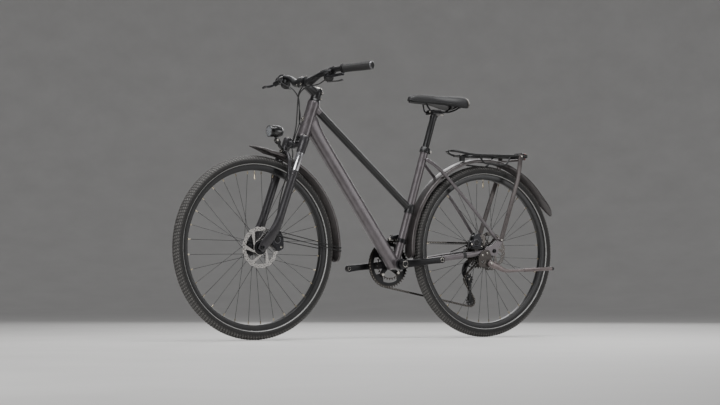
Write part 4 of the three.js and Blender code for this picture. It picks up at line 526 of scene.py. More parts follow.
SPOKES = 32
SPOKE_PHASE = math.radians(5.4)
SPOKE_LEAN = math.radians(66)  # how far round the flange a spoke starts from its nipple
SPOKE_CIRCLE = 25
NIPPLE_RADIUS = 296.5
TREAD_RADIUS = 352
TREAD_ROW = 7.2
TREAD_PITCHES = 176
BLOCK_HEIGHT = 1.9
TYRE_STEPS = 1260
TYRE_PROFILE = spots([318.4, 10.5], [318.4, 12.6], [320.4, 15.4], [324.5, 19.6], [330.5, 22.4], [336, 22.3],
                     [341.6, 20.3], [347.2, 16], [351.6, 10.2], [353.6, 5.0], [354.1, 0])
TYRE_INSIDE = spots([318.4, -8.6], [334, -18.5], [351, -9], [351, 9], [334, 18.5], [318.4, 8.6])


def held(value, low, high):
    """The share of the way from low to high, held between 0 and 1."""
    return np.clip((value - low) / (high - low), 0, 1)


def tread(around, across):
    """Share of the blocks' height: staggered slanting blocks cut by grooves, fading out at the shoulders."""
    row = np.floor(across / TREAD_ROW + 0.5)
    in_row = np.abs(across / TREAD_ROW + 0.5 - row - 0.5) * 2
    pitch = TREAD_RADIUS * 2 * np.pi / TREAD_PITCHES
    slant = around + 0.4 * np.abs(across) + row * pitch * 0.4
    in_pitch = np.abs(slant / pitch - np.floor(slant / pitch) - 0.5) * 2
    rib = (1 - held(in_row, 0.62, 0.84)) * (1 - held(in_pitch, 0.5, 0.74))
    # Each block's own random share sets its height and also how bright its painted highlight is
    own = np.sin(row * 12.9898 + np.floor(slant / pitch) % TREAD_PITCHES * 78.233) * 43758.5453
    return rib * (0.62 + 0.38 * (own - np.floor(own))) * (1 - held(np.abs(across), 26.5, 29))


def tyre_shells(centre):
    """A tyre as its profile turned, pushed out along its normal by the tread; returns each point's share too."""
    half = smooth_curve(TYRE_PROFILE, 6)
    profile = np.vstack([half, (half * [1, -1])[-2::-1]])
    length = np.concatenate([[0], np.cumsum(np.linalg.norm(np.diff(profile, axis=0), axis=1))])
    even = np.linspace(0, length[-1], 66)
    profile = np.column_stack([np.interp(even, length, profile[:, k]) for k in (0, 1)])
    across = even - length[-1] / 2
    angle = np.arange(TYRE_STEPS) * 2 * np.pi / TYRE_STEPS
    share = tread(angle[:, None] * TREAD_RADIUS, across[None, :])
    slope = np.gradient(profile, axis=0)
    normal = np.column_stack([-slope[:, 1], slope[:, 0]])
    normal *= np.sign(normal[len(normal) // 2, 0]) / np.linalg.norm(normal, axis=1)[:, None]
    outside = profile + share[..., None] * BLOCK_HEIGHT * normal
    inside = np.broadcast_to(TYRE_INSIDE, (TYRE_STEPS, *TYRE_INSIDE.shape))
    radius, side = np.moveaxis(np.hstack([outside, inside]), -1, 0)
    rings = np.stack([radius * np.cos(angle)[:, None], side, radius * np.sin(angle)[:, None]], -1)
    shares = np.hstack([share, np.zeros((TYRE_STEPS, len(TYRE_INSIDE)))])
    return [moved(skin(rings, loop=True), centre)], shares.ravel()


def wheel(name, body, centre, hub_profile, flanges, steel):
    """Tyre, rim, hub with spokes and nipples, and disc, all turned about the axle."""
    rubber, shares = tyre_shells(centre)
    band = [turned([[320.9, s * 17.0], [323.6, s * 19.6], [323.5, s * 20.15], [320.7, s * 17.5]], centre, Y, 240)
            for s in (LEFT, RIGHT)]
    tyre = piece(f"{name}_tyre_tread", [(rubber, TYRE_RUBBER), (band, REFLEX_BAND)], body,
                 [f"{name}_tyre"], sharp=60)
    # The tread attribute carries the block heights that the rubber's painted highlight reads
    heights = np.zeros(len(tyre.data.vertices), np.float32)
    heights[:len(shares)] = shares
    tyre.data.attributes.new("tread", "FLOAT", "POINT").data.foreach_set("value", heights)
    rim = smooth_curve([[318, 12.5], [315.5, 12.6], [306, 12.3], [300, 11.2], [297.6, 8.2], [296.9, 3], [296.9, 0]], 3)
    rim = np.vstack([[[318, 10.8]], rim, (rim * [1, -1])[-2::-1], [[318, -10.8], [306.5, -10.6], [306.5, 10.6]]])
    angles = SPOKE_PHASE + np.arange(SPOKES) * 2 * np.pi / SPOKES
    radial = np.column_stack([np.cos(angles), np.zeros(SPOKES), np.sin(angles)])
    kind = np.arange(SPOKES)
    flange = np.where(kind % 2 == 0, flanges[0], -flanges[1])
    forward = np.where(kind // 2 % 2 == 0, 1, -1)
    bow = forward * 1.9
    start = angles + forward * SPOKE_LEAN
    root = np.column_stack([SPOKE_CIRCLE * np.cos(start), flange + bow, SPOKE_CIRCLE * np.sin(start)])
    tip = radial * NIPPLE_RADIUS + np.sign(flange)[:, None] * Y * 2.5
    spokes, nipples, heads = [], [], []
    for r, t, b in zip(root, tip, bow):
        along = unit(t - r)
        spokes.append(tube([r, r + (t - r) * 0.3, r + (t - r) * 0.7, t - along * 8], [1.05, 0.9, 0.9, 1.05], sides=6))
        nipples.append(turned([[0, 0], [2.0, 0], [2.3, 1], [2.3, 11], [0, 11]], t - along * 12, along, 8))
        heads.append(rod(r - np.sign(b) * Y * 4.6, r, 1.7, 8))
    valve = turned([[0, 0], [2.6, 0], [2.6, 26], [1.6, 28], [1.6, 33], [0, 33]], Z * 263, Z, 12)
    piece(f"{name}_rim_turned", [([turned(rim, centre, Y, 192)], BLACK_PAINT),
                                 (all_moved(nipples + [valve], centre), NIPPLE_BRASS)],
          body, [f"{name}_rim"], sharp=30)
    piece(f"{name}_hub_laced", [([turned(hub_profile, centre, Y, 48)], CAST_ALLOY),
                                (all_moved(spokes, centre), POWDER_BLACK), (all_moved(heads, centre), BRIGHT_STEEL)],
          body, [f"{name}_hub"], sharp=30)
    disc(name, body, centre, steel)


def disc(name, body, centre, steel):
    """A brake disc: a scalloped track with rows of holes, six swept arms, and a dark carrier with its lock ring."""
    turn = np.linspace(0, 2 * np.pi, 288, endpoint=False)
    loops = [polar(79.9 - 3.4 * np.cos(8 * turn) ** 6, turn)]
    for a in np.arange(6) * 2 * np.pi / 6:
        outer_turn = a + np.linspace(math.radians(7), math.radians(53), 14)
        inner_turn = outer_turn[::-1] * 0.8 + a * 0.2 - math.radians(30)
        loops.append(np.vstack([polar(64.6 - 2.0 * np.cos(8 * outer_turn + 0.6) ** 6, outer_turn),
                                polar(29.5, inner_turn)]))
    loops.append(ring_points(20.5, 48))
    for a in np.arange(32) * 2 * np.pi / 32:
        for r, push, size in ((67.9, 0.0, 2.3), (73.2, 0.098, 2.5)):
            loops.append(ring_points(size, 8, 0.2, polar(r, a + push)))
    track = flat_plate(loops, 43.1, 44.9)
    carrier = turned([[19, 42], [26, 42.2], [28, 43], [28, 45.2], [26, 46.2], [23, 47.5], [19, 47.5]],
                     (0, 0, 0), Y, 48)
    ring = turned([[15, 45], [20.6, 45], [21, 48.4], [19.6, 49.4], [15, 49.4]], (0, 0, 0), Y, 36)
    piece(f"{name}_disc_drilled", [([moved(track, centre)], steel), (all_moved([carrier, ring], centre), CAST_ALLOY)],
          body, [f"{name}_rotor"], edge=0.25)


FRONT_HUB = [[5, -49.7], [8.5, -49.7], [9, -49], [9, -39], [13, -38], [28, -37], [29, -36], [29, -32.6],
             [27.5, -31.6], [17, -29.5], [15, -26], [14.5, 0], [15, 18], [17, 21.5], [27.5, 23.4], [29, 24.4],
             [29, 27.6], [28, 28.6], [19, 30], [19, 42.4], [18.8, 49], [9, 49.4], [9, 49.7], [5, 49.7]]
REAR_HUB = [[5, -21.2], [28, -21.2], [29, -20.4], [29, -17.4], [27.5, -16.4], [19, -14.5], [17, -11], [16.5, 5],
            [17, 23], [19, 27.5], [27.5, 29.4], [29, 30.4], [29, 33.6], [28, 34.6], [19, 36], [19, 42.4],
            [18.8, 49], [10, 50], [9, 58], [9, 67.1], [5, 67.1]]
wheel("front", "front_wheel", FRONT_AXLE, FRONT_HUB, (26, 34), GROUND_STEEL)
# The rear wheel's disc takes the same steel in darker colours
wheel("rear", "rear_wheel", REAR_AXLE, REAR_HUB, (32, 19), REAR_DISC_STEEL)

# Frame

TOP_HEAD, TOP_BACK = steer(618), seat(235)
TOP_AXIS = unit(TOP_HEAD - TOP_BACK)


def head_and_down_tube():
    """Head tube turned; the down tube is a rounded square that swells by its flare where it meets the head."""
    head = turned([[20, 0], [25.3, 0], [25.9, 1], [25.9, 8], [25.4, 12], [25.2, 20], [24.7, 38], [23.8, 62],
                   [23.3, 85], [23.4, 130], [23.9, 138], [24.2, 149], [23.6, 150], [20, 150]],
                  steer(484), STEER_UP, 56)
    cup = turned([[15, -21.6], [24.4, -21.6], [24.8, -21], [24.8, -13], [23.4, -12], [22.6, -10.5], [25.2, -9],
                  [25.8, -8], [25.8, -1], [25.2, -0.2], [15, -0.2]], steer(484), STEER_UP, 56)
    clip_at = steer(553, 24)
    clip = domed([clip_at + STEER_UP * 9, clip_at - STEER_UP * 9], 6, 5, sides=18, power=3.4)
    clip_bolt = bolt(clip_at + STEER_FORE * 6, STEER_FORE, 4, 2.6)
    piece("head_tube_turned", [([head], FRAME_PAINT), ([cup], POWDER_BLACK), ([clip, clip_bolt], BRIGHT_STEEL)],
          "frame", ["head_tube"])
    foot, top = SHELL + [9, 0, -4], steer(548, -7)
    along = unit(top - foot)
    upward = np.cross(along, Y)
    upward *= np.sign(upward[2])
    share = np.array([0, 0.2, 0.5, 0.75, 0.86, 0.93, 0.97, 1.0])
    flare = np.array([0, 0, 0, 0.005, 0.02, 0.08, 0.16, 0.24])
    path = foot + (top - foot) * share[:, None] + upward * (flare * 27)[:, None]
    path = np.vstack([path, path[-1] + along * 13 - upward * 3])
    sizes = np.column_stack([np.where(share > 0.9, 22.3, 22), 27 * (1 + flare)])
    down = limb(path, np.vstack([sizes, [19, 27]]), sides=48, power=2.8)
    piece("down_tube_formed", [([down], FRAME_PAINT)], "frame", ["down_tube"], edge=0.6)


def weld_bead(centre, axis, radius, grow, length):
    """A low round bead where one tube meets another: the radius swells by half a sine over its length."""
    along = np.linspace(-length, length, 7)
    swell = radius + np.sin(np.linspace(0, np.pi, 7)) * grow - 0.3
    profile = np.vstack([[[radius - 1, -length]], np.column_stack([swell, along]), [[radius - 1, length]]])
    return turned(profile, centre, axis, 40)


def top_and_seat_tube():
    """Round tubes: the top one with its bead and lug at the seat, and a flare against the head."""
    flare_reach = np.array([8.0, 12, 16, 20, 25, 30, 35, 40])
    head_flare = tube(TOP_HEAD - TOP_AXIS * flare_reach[:, None], [17.5, 17, 16.5, 16, 15.7, 15.4, 15.2, 15.1],
                      [27, 24, 21.4, 19.2, 17.4, 16.1, 15.3, 15.1], sides=40)
    black = [tube(np.linspace(TOP_BACK, TOP_HEAD, 12), 15, sides=40),
             weld_bead(TOP_BACK + TOP_AXIS * 17.5, TOP_AXIS, 15, 1.8, 4),
             turned(collar(16.8, 19.5, -19, 19, 0.6, 1), TOP_BACK, SEAT_UP, 44)]
    piece("top_tube_drawn", [(black, BLACK_PAINT), ([head_flare], FRAME_PAINT)], "frame", ["top_tube"])
    piece("seat_tube_drawn", [([pipe(seat(19), seat(487), 16.5, 14.1, 44)], FRAME_PAINT)], "frame",
          ["seat_tube"])


def stays():
    """Seatstays and chainstays on smooth paths, the plates that hold the axle, and the hose's band on the left."""
    band = tube([[150, 58.4, 335.4], [143, 59.2, 336.3], [136, 59.9, 337.2]], 8.3, 12.1, sides=28, power=2.6)
    plate_feet = {LEFT: [[-6, -20], [14, -18]], RIGHT: [[-5, -20], [-3, -38], [13, -40], [18, -17]]}
    for word, side in SIDES:
        path = spots([440, 20, 297], [382, 29, 304], [345, 35, 309], [245, 48, 322], [130, 60.5, 338], [60, 67, 348],
                     [26, 71, 353]) * [1, side, 1]
        chainstay = limb(path, [[7.5, 11.2], [7.5, 11.2], [7.4, 10.9], [7.4, 10.9], [7.5, 11.2], [7, 10.3], [6.1, 9]],
                         sides=28, power=2.6)
        path = spots(seat(453, -5, 18), [256, 37, 690], [130, 48, 569], [-16, 70, 405]) * [1, side, 1]
        seatstay = limb(path, [[7.4, 7.4], [7.4, 7.4], [7.2, 7.2], [7.2, 7.2]], 10, domed, sides=24)
        edge = smooth_curve([[44, -11], [46, 10], [18, 22], [-2, 33], [-12.6, 39.3], [-27.4, 52.7], [-42, 54],
                             [-46, 40], [-24, 10], [-18, -12], *plate_feet[side], [44, -11]], 5)[:-1]
        low, high = (67.6, 74.4) if side == LEFT else (-74.4, -67.6)
        plate = moved(flat_plate([edge, ring_points(5.2, 20)], low, high), REAR_AXLE)
        extra = [([band], POWDER_BLACK)] if side == LEFT else []
        piece(f"chainstay_{word}_formed", [([chainstay, plate], FRAME_PAINT), *extra], "frame",
              [f"chainstay_{word}"], edge=0.5)
        piece(f"seatstay_{word}_drawn", [([seatstay], FRAME_PAINT)], "frame", [f"seatstay_{word}"])


def seat_collar_and_shell():
    """The clamp round the seat tube's mouth with its cross bolt, and the bottom bracket's shell with its cups."""
    clamp = [turned([[17.1, 478], [19.8, 478], [20.5, 478.8], [20.5, 499.4], [19.8, 500.3], [14.5, 500.3],
                     [14.5, 487.4], [17.1, 487.4]], SHELL, SEAT_UP, 48),
             tube([seat(489, -18.5), seat(489, -26)], 7, 7.3, sides=24, power=4)]
    cross = [rod(seat(489, -22, -12), seat(489, -22, 12), 3.2), bolt(seat(489, -22, 11), Y, 4.4, 3.2)]
    piece("seat_collar_clamp", [(clamp, BLACK_PAINT), (cross, BRIGHT_STEEL)], "frame", ["seat_collar"],
          edge=0.4)
    cups = [turned([[12.3, side * 46], [21.5, side * 46], [22.5, side * 45.2], [22.5, side * 38], [21, side * 36.6],
                    [12.3, side * 36.6]], SHELL, Y, 48) for side in (LEFT, RIGHT)]
    shell = turned(collar(12.3, 21, -36.4, 36.4, 0.6), SHELL, Y, 48)
    piece("bottom_bracket_turned", [([shell], FRAME_PAINT), (cups, CAST_ALLOY)], "frame",
          ["bottom_bracket_shell"])


def axle(name, body, half, centre):
    """An axle with a socketed bolt head on its left and a flanged nut on its right."""
    left = [[0, half - 30], [4.6, half - 30], [4.6, half], [8.4, half], [8.4, half + 1.4], [6.8, half + 2.2],
            [6.6, half + 5.4], [5.9, half + 6], [3.1, half + 6], [3.0, half + 2.5], [0, half + 2.5]]
    right = [[0, 30 - half], [4.6, 30 - half], [4.6, -half], [8.4, -half], [8.4, -half - 1.6], [6.8, -half - 2.4],
             [6.8, -half - 5], [4.8, -half - 6], [0, -half - 6]]
    ends = [turned(profile, centre, Y, 24) for profile in (left, right)]
    shaft = rod(centre - Y * (half - 29), centre + Y * (half - 29), 4.6)
    piece(f"{name}_axle_bolt", [(ends, CAST_ALLOY), ([shaft], BRIGHT_STEEL)], body, [f"{name}_axle"])


head_and_down_tube()
top_and_seat_tube()
stays()
seat_collar_and_shell()
axle("front", "fork", 61.5, FRONT_AXLE)
axle("rear", "frame", 75.0, REAR_AXLE)

# Fork, brakes, guards and lamp

LEG_AHEAD, LEG_OUT = 25, 62  # the fork's leg from the steering axis


def fork_crown():
    """The crown's bridge is one eased limb from leg to leg; caps, race and stanchions are turned about their axes."""
    race = turned([[14.5, 454], [24.2, 454], [24.8, 454.6], [24.8, 460.6], [24, 461.8], [14.5, 461.8]],
                  STEER_FOOT, STEER_UP, 48)
    half_bridge = [(453, 22, 62), (450, 15, 46), (448, 8, 30), (447, 4, 0)]
    bridge = [steer(*p) for p in half_bridge] + [steer(s, f, -y) for s, f, y in half_bridge[-2::-1]]
    sizes = [[13, 17], [13, 15.5], [14, 14.5], [15.5, 11], [14, 14.5], [13, 15.5], [13, 17]]
    crown = [race, limb(bridge, sizes, side=STEER_FORE, sides=28, power=3)]
    bright, chromed = [], []
    for side in (LEFT, RIGHT):
        foot = steer(0, LEG_AHEAD, side * LEG_OUT)
        crown.append(turned([[0, 404], [16.2, 404], [17, 404.8], [17.2, 433], [18.4, 435.4], [18.4, 467],
                             [17.6, 471.4], [15.2, 474.2], [12.6, 475], [0, 475]], foot, STEER_UP, 40))
        bright.append(turned([[0, 474], [11.6, 474], [11.9, 474.6], [11.4, 475.9], [6, 475.9], [5.2, 474.9],
                              [0, 474.9]], foot, STEER_UP, 36))
        chromed.append(turned([[0, 215], [13.4, 215], [14, 215.8], [14, 434.6], [0, 434.6]], foot, STEER_UP, 40))
    chromed.append(rod(steer(455), steer(689), 14.3, 28))
    piece("fork_crown_forged", [(crown, FORK_PAINT), (bright, BRIGHT_STEEL), (chromed, CHROME)],
          "steering", ["fork_upper"])


def fork_lowers():
    """Each leg is an eased limb that flattens into its dropout; a brace arches over the guard between the legs."""
    shapes, seals = [], []
    leg = [(312, 25, 62), (290, 25, 62), (240, 25, 62), (180, 25, 62), (140, 25, 62), (112, 25.8, 61.8),
           (84, 29, 60.9), (48, 38.5, 58.5), (20, 48.5, 57.5), (-4, 57, 57.5), (-13, 59.6, 57.5)]
    sizes = [[15.8, 15.8], [15.8, 15.8], [15.6, 15.6], [15.4, 15.6], [15.2, 15.8], [14.4, 17.6], [12.6, 19.6],
             [8.6, 21], [4.2, 19.4], [3.6, 16.4], [3.4, 12]]
    for side in (LEFT, RIGHT):
        shapes.append(limb([steer(s, f, side * y) for s, f, y in leg], sizes, 6, domed, sides=32, power=2.1))
        foot = steer(0, LEG_AHEAD, side * LEG_OUT)
        shapes.append(turned([[14.3, 308], [15.6, 308], [17.2, 311], [17.6, 313], [17.6, 322], [17, 324.6],
                              [14.3, 324.6]], foot, STEER_UP, 40))
        seals.append(turned([[14.1, 322], [16.8, 322], [16.8, 327], [15.6, 329.4], [14.4, 330.4], [14.1, 330.2]],
                            foot, STEER_UP, 40))
    arch = [(284, 31, 61), (316, 43, 59), (346, 51, 54.5), (368, 55, 47.5), (387, 57.5, 32), (397, 58, 14),
            (398.5, 58, 0)]
    arch += [(s, f, -y) for s, f, y in arch[-2::-1]]
    sizes = [[9.5, 7], [8.4, 6], [8, 5.4], [8, 5.4], [8, 5.4], [8.4, 5.2], [8.8, 5.2]]
    shapes.append(limb([steer(*p) for p in arch], sizes + sizes[-2::-1], 5, domed, side=STEER_FORE, sides=24,
                       power=3.2))
    piece("fork_lowers_cast", [(shapes, FORK_PAINT), (seals, GRIP_RUBBER)], "fork", ["fork_lowers"])


def caliper(name, body, centre, outer, bridge, bridge_back, bolts_at, high, extra):
    """Two halves of rounded outline either side of the disc, a bridge over its edge, piston cover and bolts."""
    outer = np.asarray(outer, float)
    loop = rounded(outer, 9, 6)
    inward = (loop.mean(0) - loop) / np.linalg.norm(loop.mean(0) - loop, axis=1)[:, None]
    halves = [flat_plate([loop + inward * by], low, top)
              for by, low, top in ((0, 45.6, high - 3), (0, 34.5, 42.4), (1.4, high - 3.4, high - 1.8),
                                   (3, high - 2, high - 0.9), (1.6, 33, 35), (3.2, 32.1, 33.4))]
    arc = polar(83.4, np.radians(np.linspace(*bridge, 12)))
    far = outer[(np.hypot(*outer.T) > 86) & (np.degrees(np.arctan2(outer[:, 1], outer[:, 0])) > bridge[0])]
    middle = np.vstack([far, arc[::-1] if bridge_back else arc])
    halves.append(flat_plate([rounded(middle, 1.5, 2)], 42.2, 45.8))
    piston = (outer.mean(0)[0], 0, outer.mean(0)[1])
    cover = [turned([[0, high - 2], [12.5, high - 2], [12.5, high - 0.6], [11, high], [7, high], [6.4, high - 0.8],
                     [0, high - 0.8]], piston, Y, 32)]
    ring = [turned([[12.4, high - 2], [14.6, high - 2], [14.6, high - 0.7], [13.6, high - 0.2], [12.4, high - 0.2]],
                   piston, Y, 36)]
    heads = [turned([[0, high - 2.2], [4.6, high - 2.2], [4.6, high + 0.4], [4, high + 1.2], [2.4, high + 1.2],
                     [2.2, high - 0.4], [0, high - 0.4]], (x, 0, z), Y, 20) for x, z in bolts_at]
    groups = [(halves, BRAKE_ALLOY), (cover, CAST_ALLOY), (ring, SATIN_ALLOY), (heads, BRIGHT_STEEL), extra]
    piece(f"{name}_caliper_forged", [(all_moved(shells, centre), look) for shells, look in groups], body,
          [f"{name}_brake_caliper"], edge=0.5)


def calipers():
    """The front one hangs behind the left leg with its bleed nipple; the rear one sits on a foot on the chainstay."""
    bleed = turned([[0, 0], [3.2, 0], [3.8, 2], [3.8, 9], [2.6, 12], [0, 12]], (-71, 45, 66), Z, 16)
    caliper("front", "fork", FRONT_AXLE, [[-98, -4], [-96, 42], [-80, 66], [-54, 72], [-36, 44], [-46, 8], [-70, -16]],
            (124, 184), True, [(-60, 62), (-84, 2)], 60, ([bleed], BRIGHT_STEEL))
    foot = flat_plate([rounded([[58, 7], [106, 7], [106, 15.6], [58, 15.6]], 3, 4)], 55, 71.3)
    caliper("rear", "frame", REAR_AXLE, [[44, 14], [56, 27], [48, 44], [58, 62], [80, 67], [94, 57], [96, 42],
                                         [111, 36], [108, 20], [98, 8], [84, 20], [64, 8]],
            (30, 62), False, [(53, 17), (103, 27)], 58, ([foot], CAST_ALLOY))


GUARD_RADIUS = 385
GUARD_FRONT, GUARD_BACK = 86.6, 188  # the front guard's ends, in degrees round the axle


def trough(centre, start, end, steps, flare, leaf):
    """A guard's section, thin and arched with rolled edges, carried round the axle.

    At a share of its length it stands out by flare, a function of that share. An end is rounded, or where leaf
    says so it flattens and narrows into a pointed leaf.
    """
    across = np.linspace(-1, 1, 25)
    reach = 28.2 * np.sin(across * np.pi / 2 * 0.98) / math.sin(np.pi / 2 * 0.98)
    fall = -13.6 * (1 - np.sqrt(np.maximum(0, 1 - np.abs(across) ** 2.6)))
    outer = np.column_stack([reach, fall])
    inner = np.column_stack([reach * 0.955, fall * 0.98 - 1.5])[::-1]
    roll = spots([28.9, -13.0], [28.7, -14.6], [27.2, -14.8])
    section = np.vstack([outer, roll, inner, (roll * [-1, 1])[::-1]])
    share = np.linspace(0, 1, steps)
    angle = np.radians(start + (end - start) * share)
    arc = np.abs(angle - angle[0]) * GUARD_RADIUS
    width, depth = np.ones(steps), np.ones(steps)
    for is_leaf, to_end in zip(leaf, (arc, arc[-1] - arc)):
        reach_in, power = (62, 1.7) if is_leaf else (22, 2)
        width *= np.sqrt(np.clip(1 - (1 - np.clip(to_end / reach_in, 0, 1)) ** power, 0.03, 1))
        if is_leaf:
            depth *= 0.14 + 0.86 * np.clip((to_end - 4) / 78, 0, 1) ** 1.2
    radius = GUARD_RADIUS + flare(share)
    outward = np.column_stack([np.cos(angle), np.zeros(steps), np.sin(angle)])
    rings = (centre + outward[:, None] * (radius[:, None] + section[None, :, 1] * depth[:, None])[..., None]
             + Y * (section[None, :, 0] * width[:, None])[..., None])
    return skin(rings)


def front_guard():
    """The guard with a leaf over the tyre's front, its mount under the brace, and two wire stays a side."""
    body = trough(FRONT_AXLE, GUARD_FRONT, GUARD_BACK, 150, lambda share: 9 * np.maximum(0, 0.12 - share) * 8,
                  (True, False))
    wires, clips = [], []
    for side in (LEFT, RIGHT):
        for share, behind, above in ((0.915, -70, 62), (0.934, -64, 47)):
            root = FRONT_AXLE + [behind, side * 66, above]
            angle = math.radians(GUARD_FRONT + (GUARD_BACK - GUARD_FRONT) * share)
            end = FRONT_AXLE + [378 * math.cos(angle), side * 28.6, 378 * math.sin(angle)]
            wires.append(tube(bent([root, root + (end - root) * 0.05 + Y * side * 3, end], 8), 1.9, sides=10))
            wires.append(rod(root - Y * 2.6, root + Y * 2.6, 4.4, 16))
            clips.append(rod(end - Y * 3, end + Y * 2, 4.2, 12))
    wires.append(tube([steer(372, 42), steer(386, 46), steer(396, 52)], 9, 2, sides=16, power=4))
    piece("front_guard_rolled", [([body], GUARD_PAINT), (wires, POWDER_BLACK), (clips, NYLON)], "fork",
          ["front_mudguard"], sharp=50)


def rear_guard():
    """The longer guard, its leaf behind the tyre."""
    body = trough(REAR_AXLE, -5, 157, 220, lambda share: 11 * np.maximum(0, share - 0.9) * 10, (False, True))
    piece("rear_guard_rolled", [([body], GUARD_PAINT)], "frame", ["rear_mudguard"], sharp=50)


fork_crown()
fork_lowers()
calipers()
front_guard()
rear_guard()

LAMP = np.array([1016.0, 0.0, 809.0])
LAMP_PIVOT = np.array([1012.0, 0.0, 775.0])


def headlamp():
    """A turned shell with cooling grooves behind a bezel; inside, a cupped reflector behind a clear lens."""
    shell = [[0, -30], [9, -30], [13.6, -29.2], [16.6, -27], [18.6, -23.4], [19.2, -22.8], [19, -21.6],
             [20.6, -19.6], [21, -18.8], [20.8, -17.6], [21.9, -15], [22.2, -14.2], [22, -13], [22.7, -9], [23, 0],
             [23, 26], [22.8, 28.6], [22.2, 29.8], [20.6, 30], [20, 29.2], [20, 27], [0, 27]]
    out = np.linspace(0, 1, 12)
    reflector = np.vstack([np.column_stack([19.6 * out, 27.1 + 0.9 * out**2]), [[19.6, 27.0], [0, 27.0]]])
    out = np.linspace(0, 1, 10)
    lens = np.vstack([[[0, 28.6]], np.column_stack([19.7 * out[1:], np.full(9, 28.6)]),
                      np.column_stack([19.7 * out[::-1], 29.4 + 0.5 * (1 - out[::-1] ** 2)])])
    hood = [[22.6, 14], [23, 14.4], [23, 29.4], [22.6, 30]]
    bezel = [[20.2, 29], [21.8, 29], [22, 29.6], [21.2, 30], [20.4, 29.9]]
    shell, hood, bezel, reflector, lens = (turned(p, LAMP, X, 56) for p in (shell, hood, bezel, reflector, lens))
    neck = tube([LAMP + [-4, 0, -20], LAMP_PIVOT + [0, 0, 5], LAMP_PIVOT - Z], 4, [9, 6.4, 5.5], sides=20, power=4)
    foot = turned(collar(0, 7, -3.9, 3.9, 0.4, 0.5), LAMP_PIVOT, Y, 28)
    screw = turned([[0, 26.9], [2.4, 26.9], [2.4, 28.2], [0, 28.4]], LAMP, X, 12)
    switch = domed([LAMP + [-12, 0, 21.4], LAMP + [4, 0, 22.2]], 5, 1.6, sides=16, power=3)
    piece("headlamp_moulded", [([shell, neck, foot, switch, hood], LAMP_SHELL), ([reflector], REFLECTOR),
                               ([bezel, screw], BRIGHT_STEEL), ([lens], CLEAR_LENS)], "lamp",
          ["headlamp"])


def lamp_bracket():
    """Two cheeks hold the lamp's foot; a bent strap runs down to the brace."""
    cheek = rounded([[1019, 778], [1012, 783.5], [1003, 780], [994, 768], [996, 760], [1005, 759], [1016, 768]], 4, 5)
    root = steer(385 + 14, 57 + 14.2)
    path = smooth_curve([LAMP_PIVOT + [-12, 0, -12], root + [10, 0, 16], root + [0, 0, 6], root - [0, 0, 6]], 6)
    strap = tube(path, np.linspace(9, 12, len(path)), 2.2, sides=20, power=5)
    bolts = [bolt(LAMP_PIVOT + Y * 7.6, Y, 5.6, 3.4), bolt(LAMP_PIVOT - Y * 7.6, -Y, 5.6, 3.4),
             bolt(root + [3.4, 0, -2], [1, 0.3, 0.1], 7.4, 4.4)]
    cheeks = [flat_plate([cheek], 4.3, 7.4), flat_plate([cheek], -7.4, -4.3)]
    piece("lamp_bracket_bent", [(cheeks + [strap], POWDER_BLACK), (bolts, BRIGHT_STEEL)], "fork",
          ["lamp_bracket"], edge=0.3)


headlamp()
lamp_bracket()

# Stem, bar and controls

BAR = steer(688.6, 72.4)
BAR_HALF = spots([0, 50, 0], [-15, 120, 26], [-27, 198, 35], [-96, 335, 42])


def stem_and_bar():
    """Clamp turned, arm an eased limb, face plate a split ring with four bolts; the bar swells to its middle."""
    cover = turned([[14.6, 634.4], [21.6, 634.4], [22.5, 635.4], [22.2, 638], [19.9, 645.6], [19.2, 646.4],
                    [14.6, 646.4]], STEER_FOOT, STEER_UP, 48)
    clamp = turned([[14.6, 646.8], [18.8, 646.8], [19.5, 647.8], [19.5, 688.6], [18.8, 689.8], [14.6, 689.8]],
                   STEER_FOOT, STEER_UP, 48)
    start = steer(668)
    path = [start + (BAR - start) * share for share in (0, 0.3, 0.6, 0.86)]
    arm = limb(path, [[17, 19], [15.4, 17.2], [15, 16.4], [18, 17.6]], sides=32, power=2.8)
    ring = pipe(BAR - Y * 23, BAR + Y * 23, 21.3, 15.95, 56)
    toward = unit(BAR - start)
    plate_up = np.cross(toward, Y)
    faces, bolts = [], []
    for y in (-14.5, 14.5):
        for turn in (1, -1):
            at = BAR + toward * 4 + plate_up * turn * 19.5 + Y * y
            faces.append(rod(at - toward * 6, at + toward * 7, 4.6, 18))
            bolts.append(bolt(at + toward * 7.4, toward, 3.5, 2.6))
    for height in (655, 679):
        at = steer(height, -19.5)
        faces.append(tube([at - Y * 11, at + Y * 11], 5.2, side=STEER_UP, sides=20, power=3))
        bolts.append(bolt(at + Y * 11, Y, 3.5, 2.6))
    cap = turned([[0, 688.8], [17.6, 688.8], [18, 689.8], [16, 693.4], [14.4, 695.2], [12, 696], [5, 696],
                  [4.4, 694.4], [0, 694.4]], STEER_FOOT, STEER_UP, 44)
    piece("stem_forged", [([cover, clamp, arm, ring] + faces, BLACK_PAINT), (bolts + [cap], BRIGHT_STEEL)],
          "steering", ["stem"], edge=0.4)
    half = smooth_curve(np.vstack([[[0, 0, 0], [0, 28, 0]], BAR_HALF]), 14)
    path = BAR + np.vstack([(half * [1, -1, 1])[:0:-1], half])
    share = np.clip((np.abs(path[:, 1]) - 45) / 67, 0, 1)
    radius = 15.9 + (11.1 - 15.9) * share**2 * (3 - 2 * share)
    piece("handlebar_butted", [([tube(path, radius, side=X, sides=32)], BLACK_PAINT)], "steering",
          ["handlebar"])


stem_and_bar()

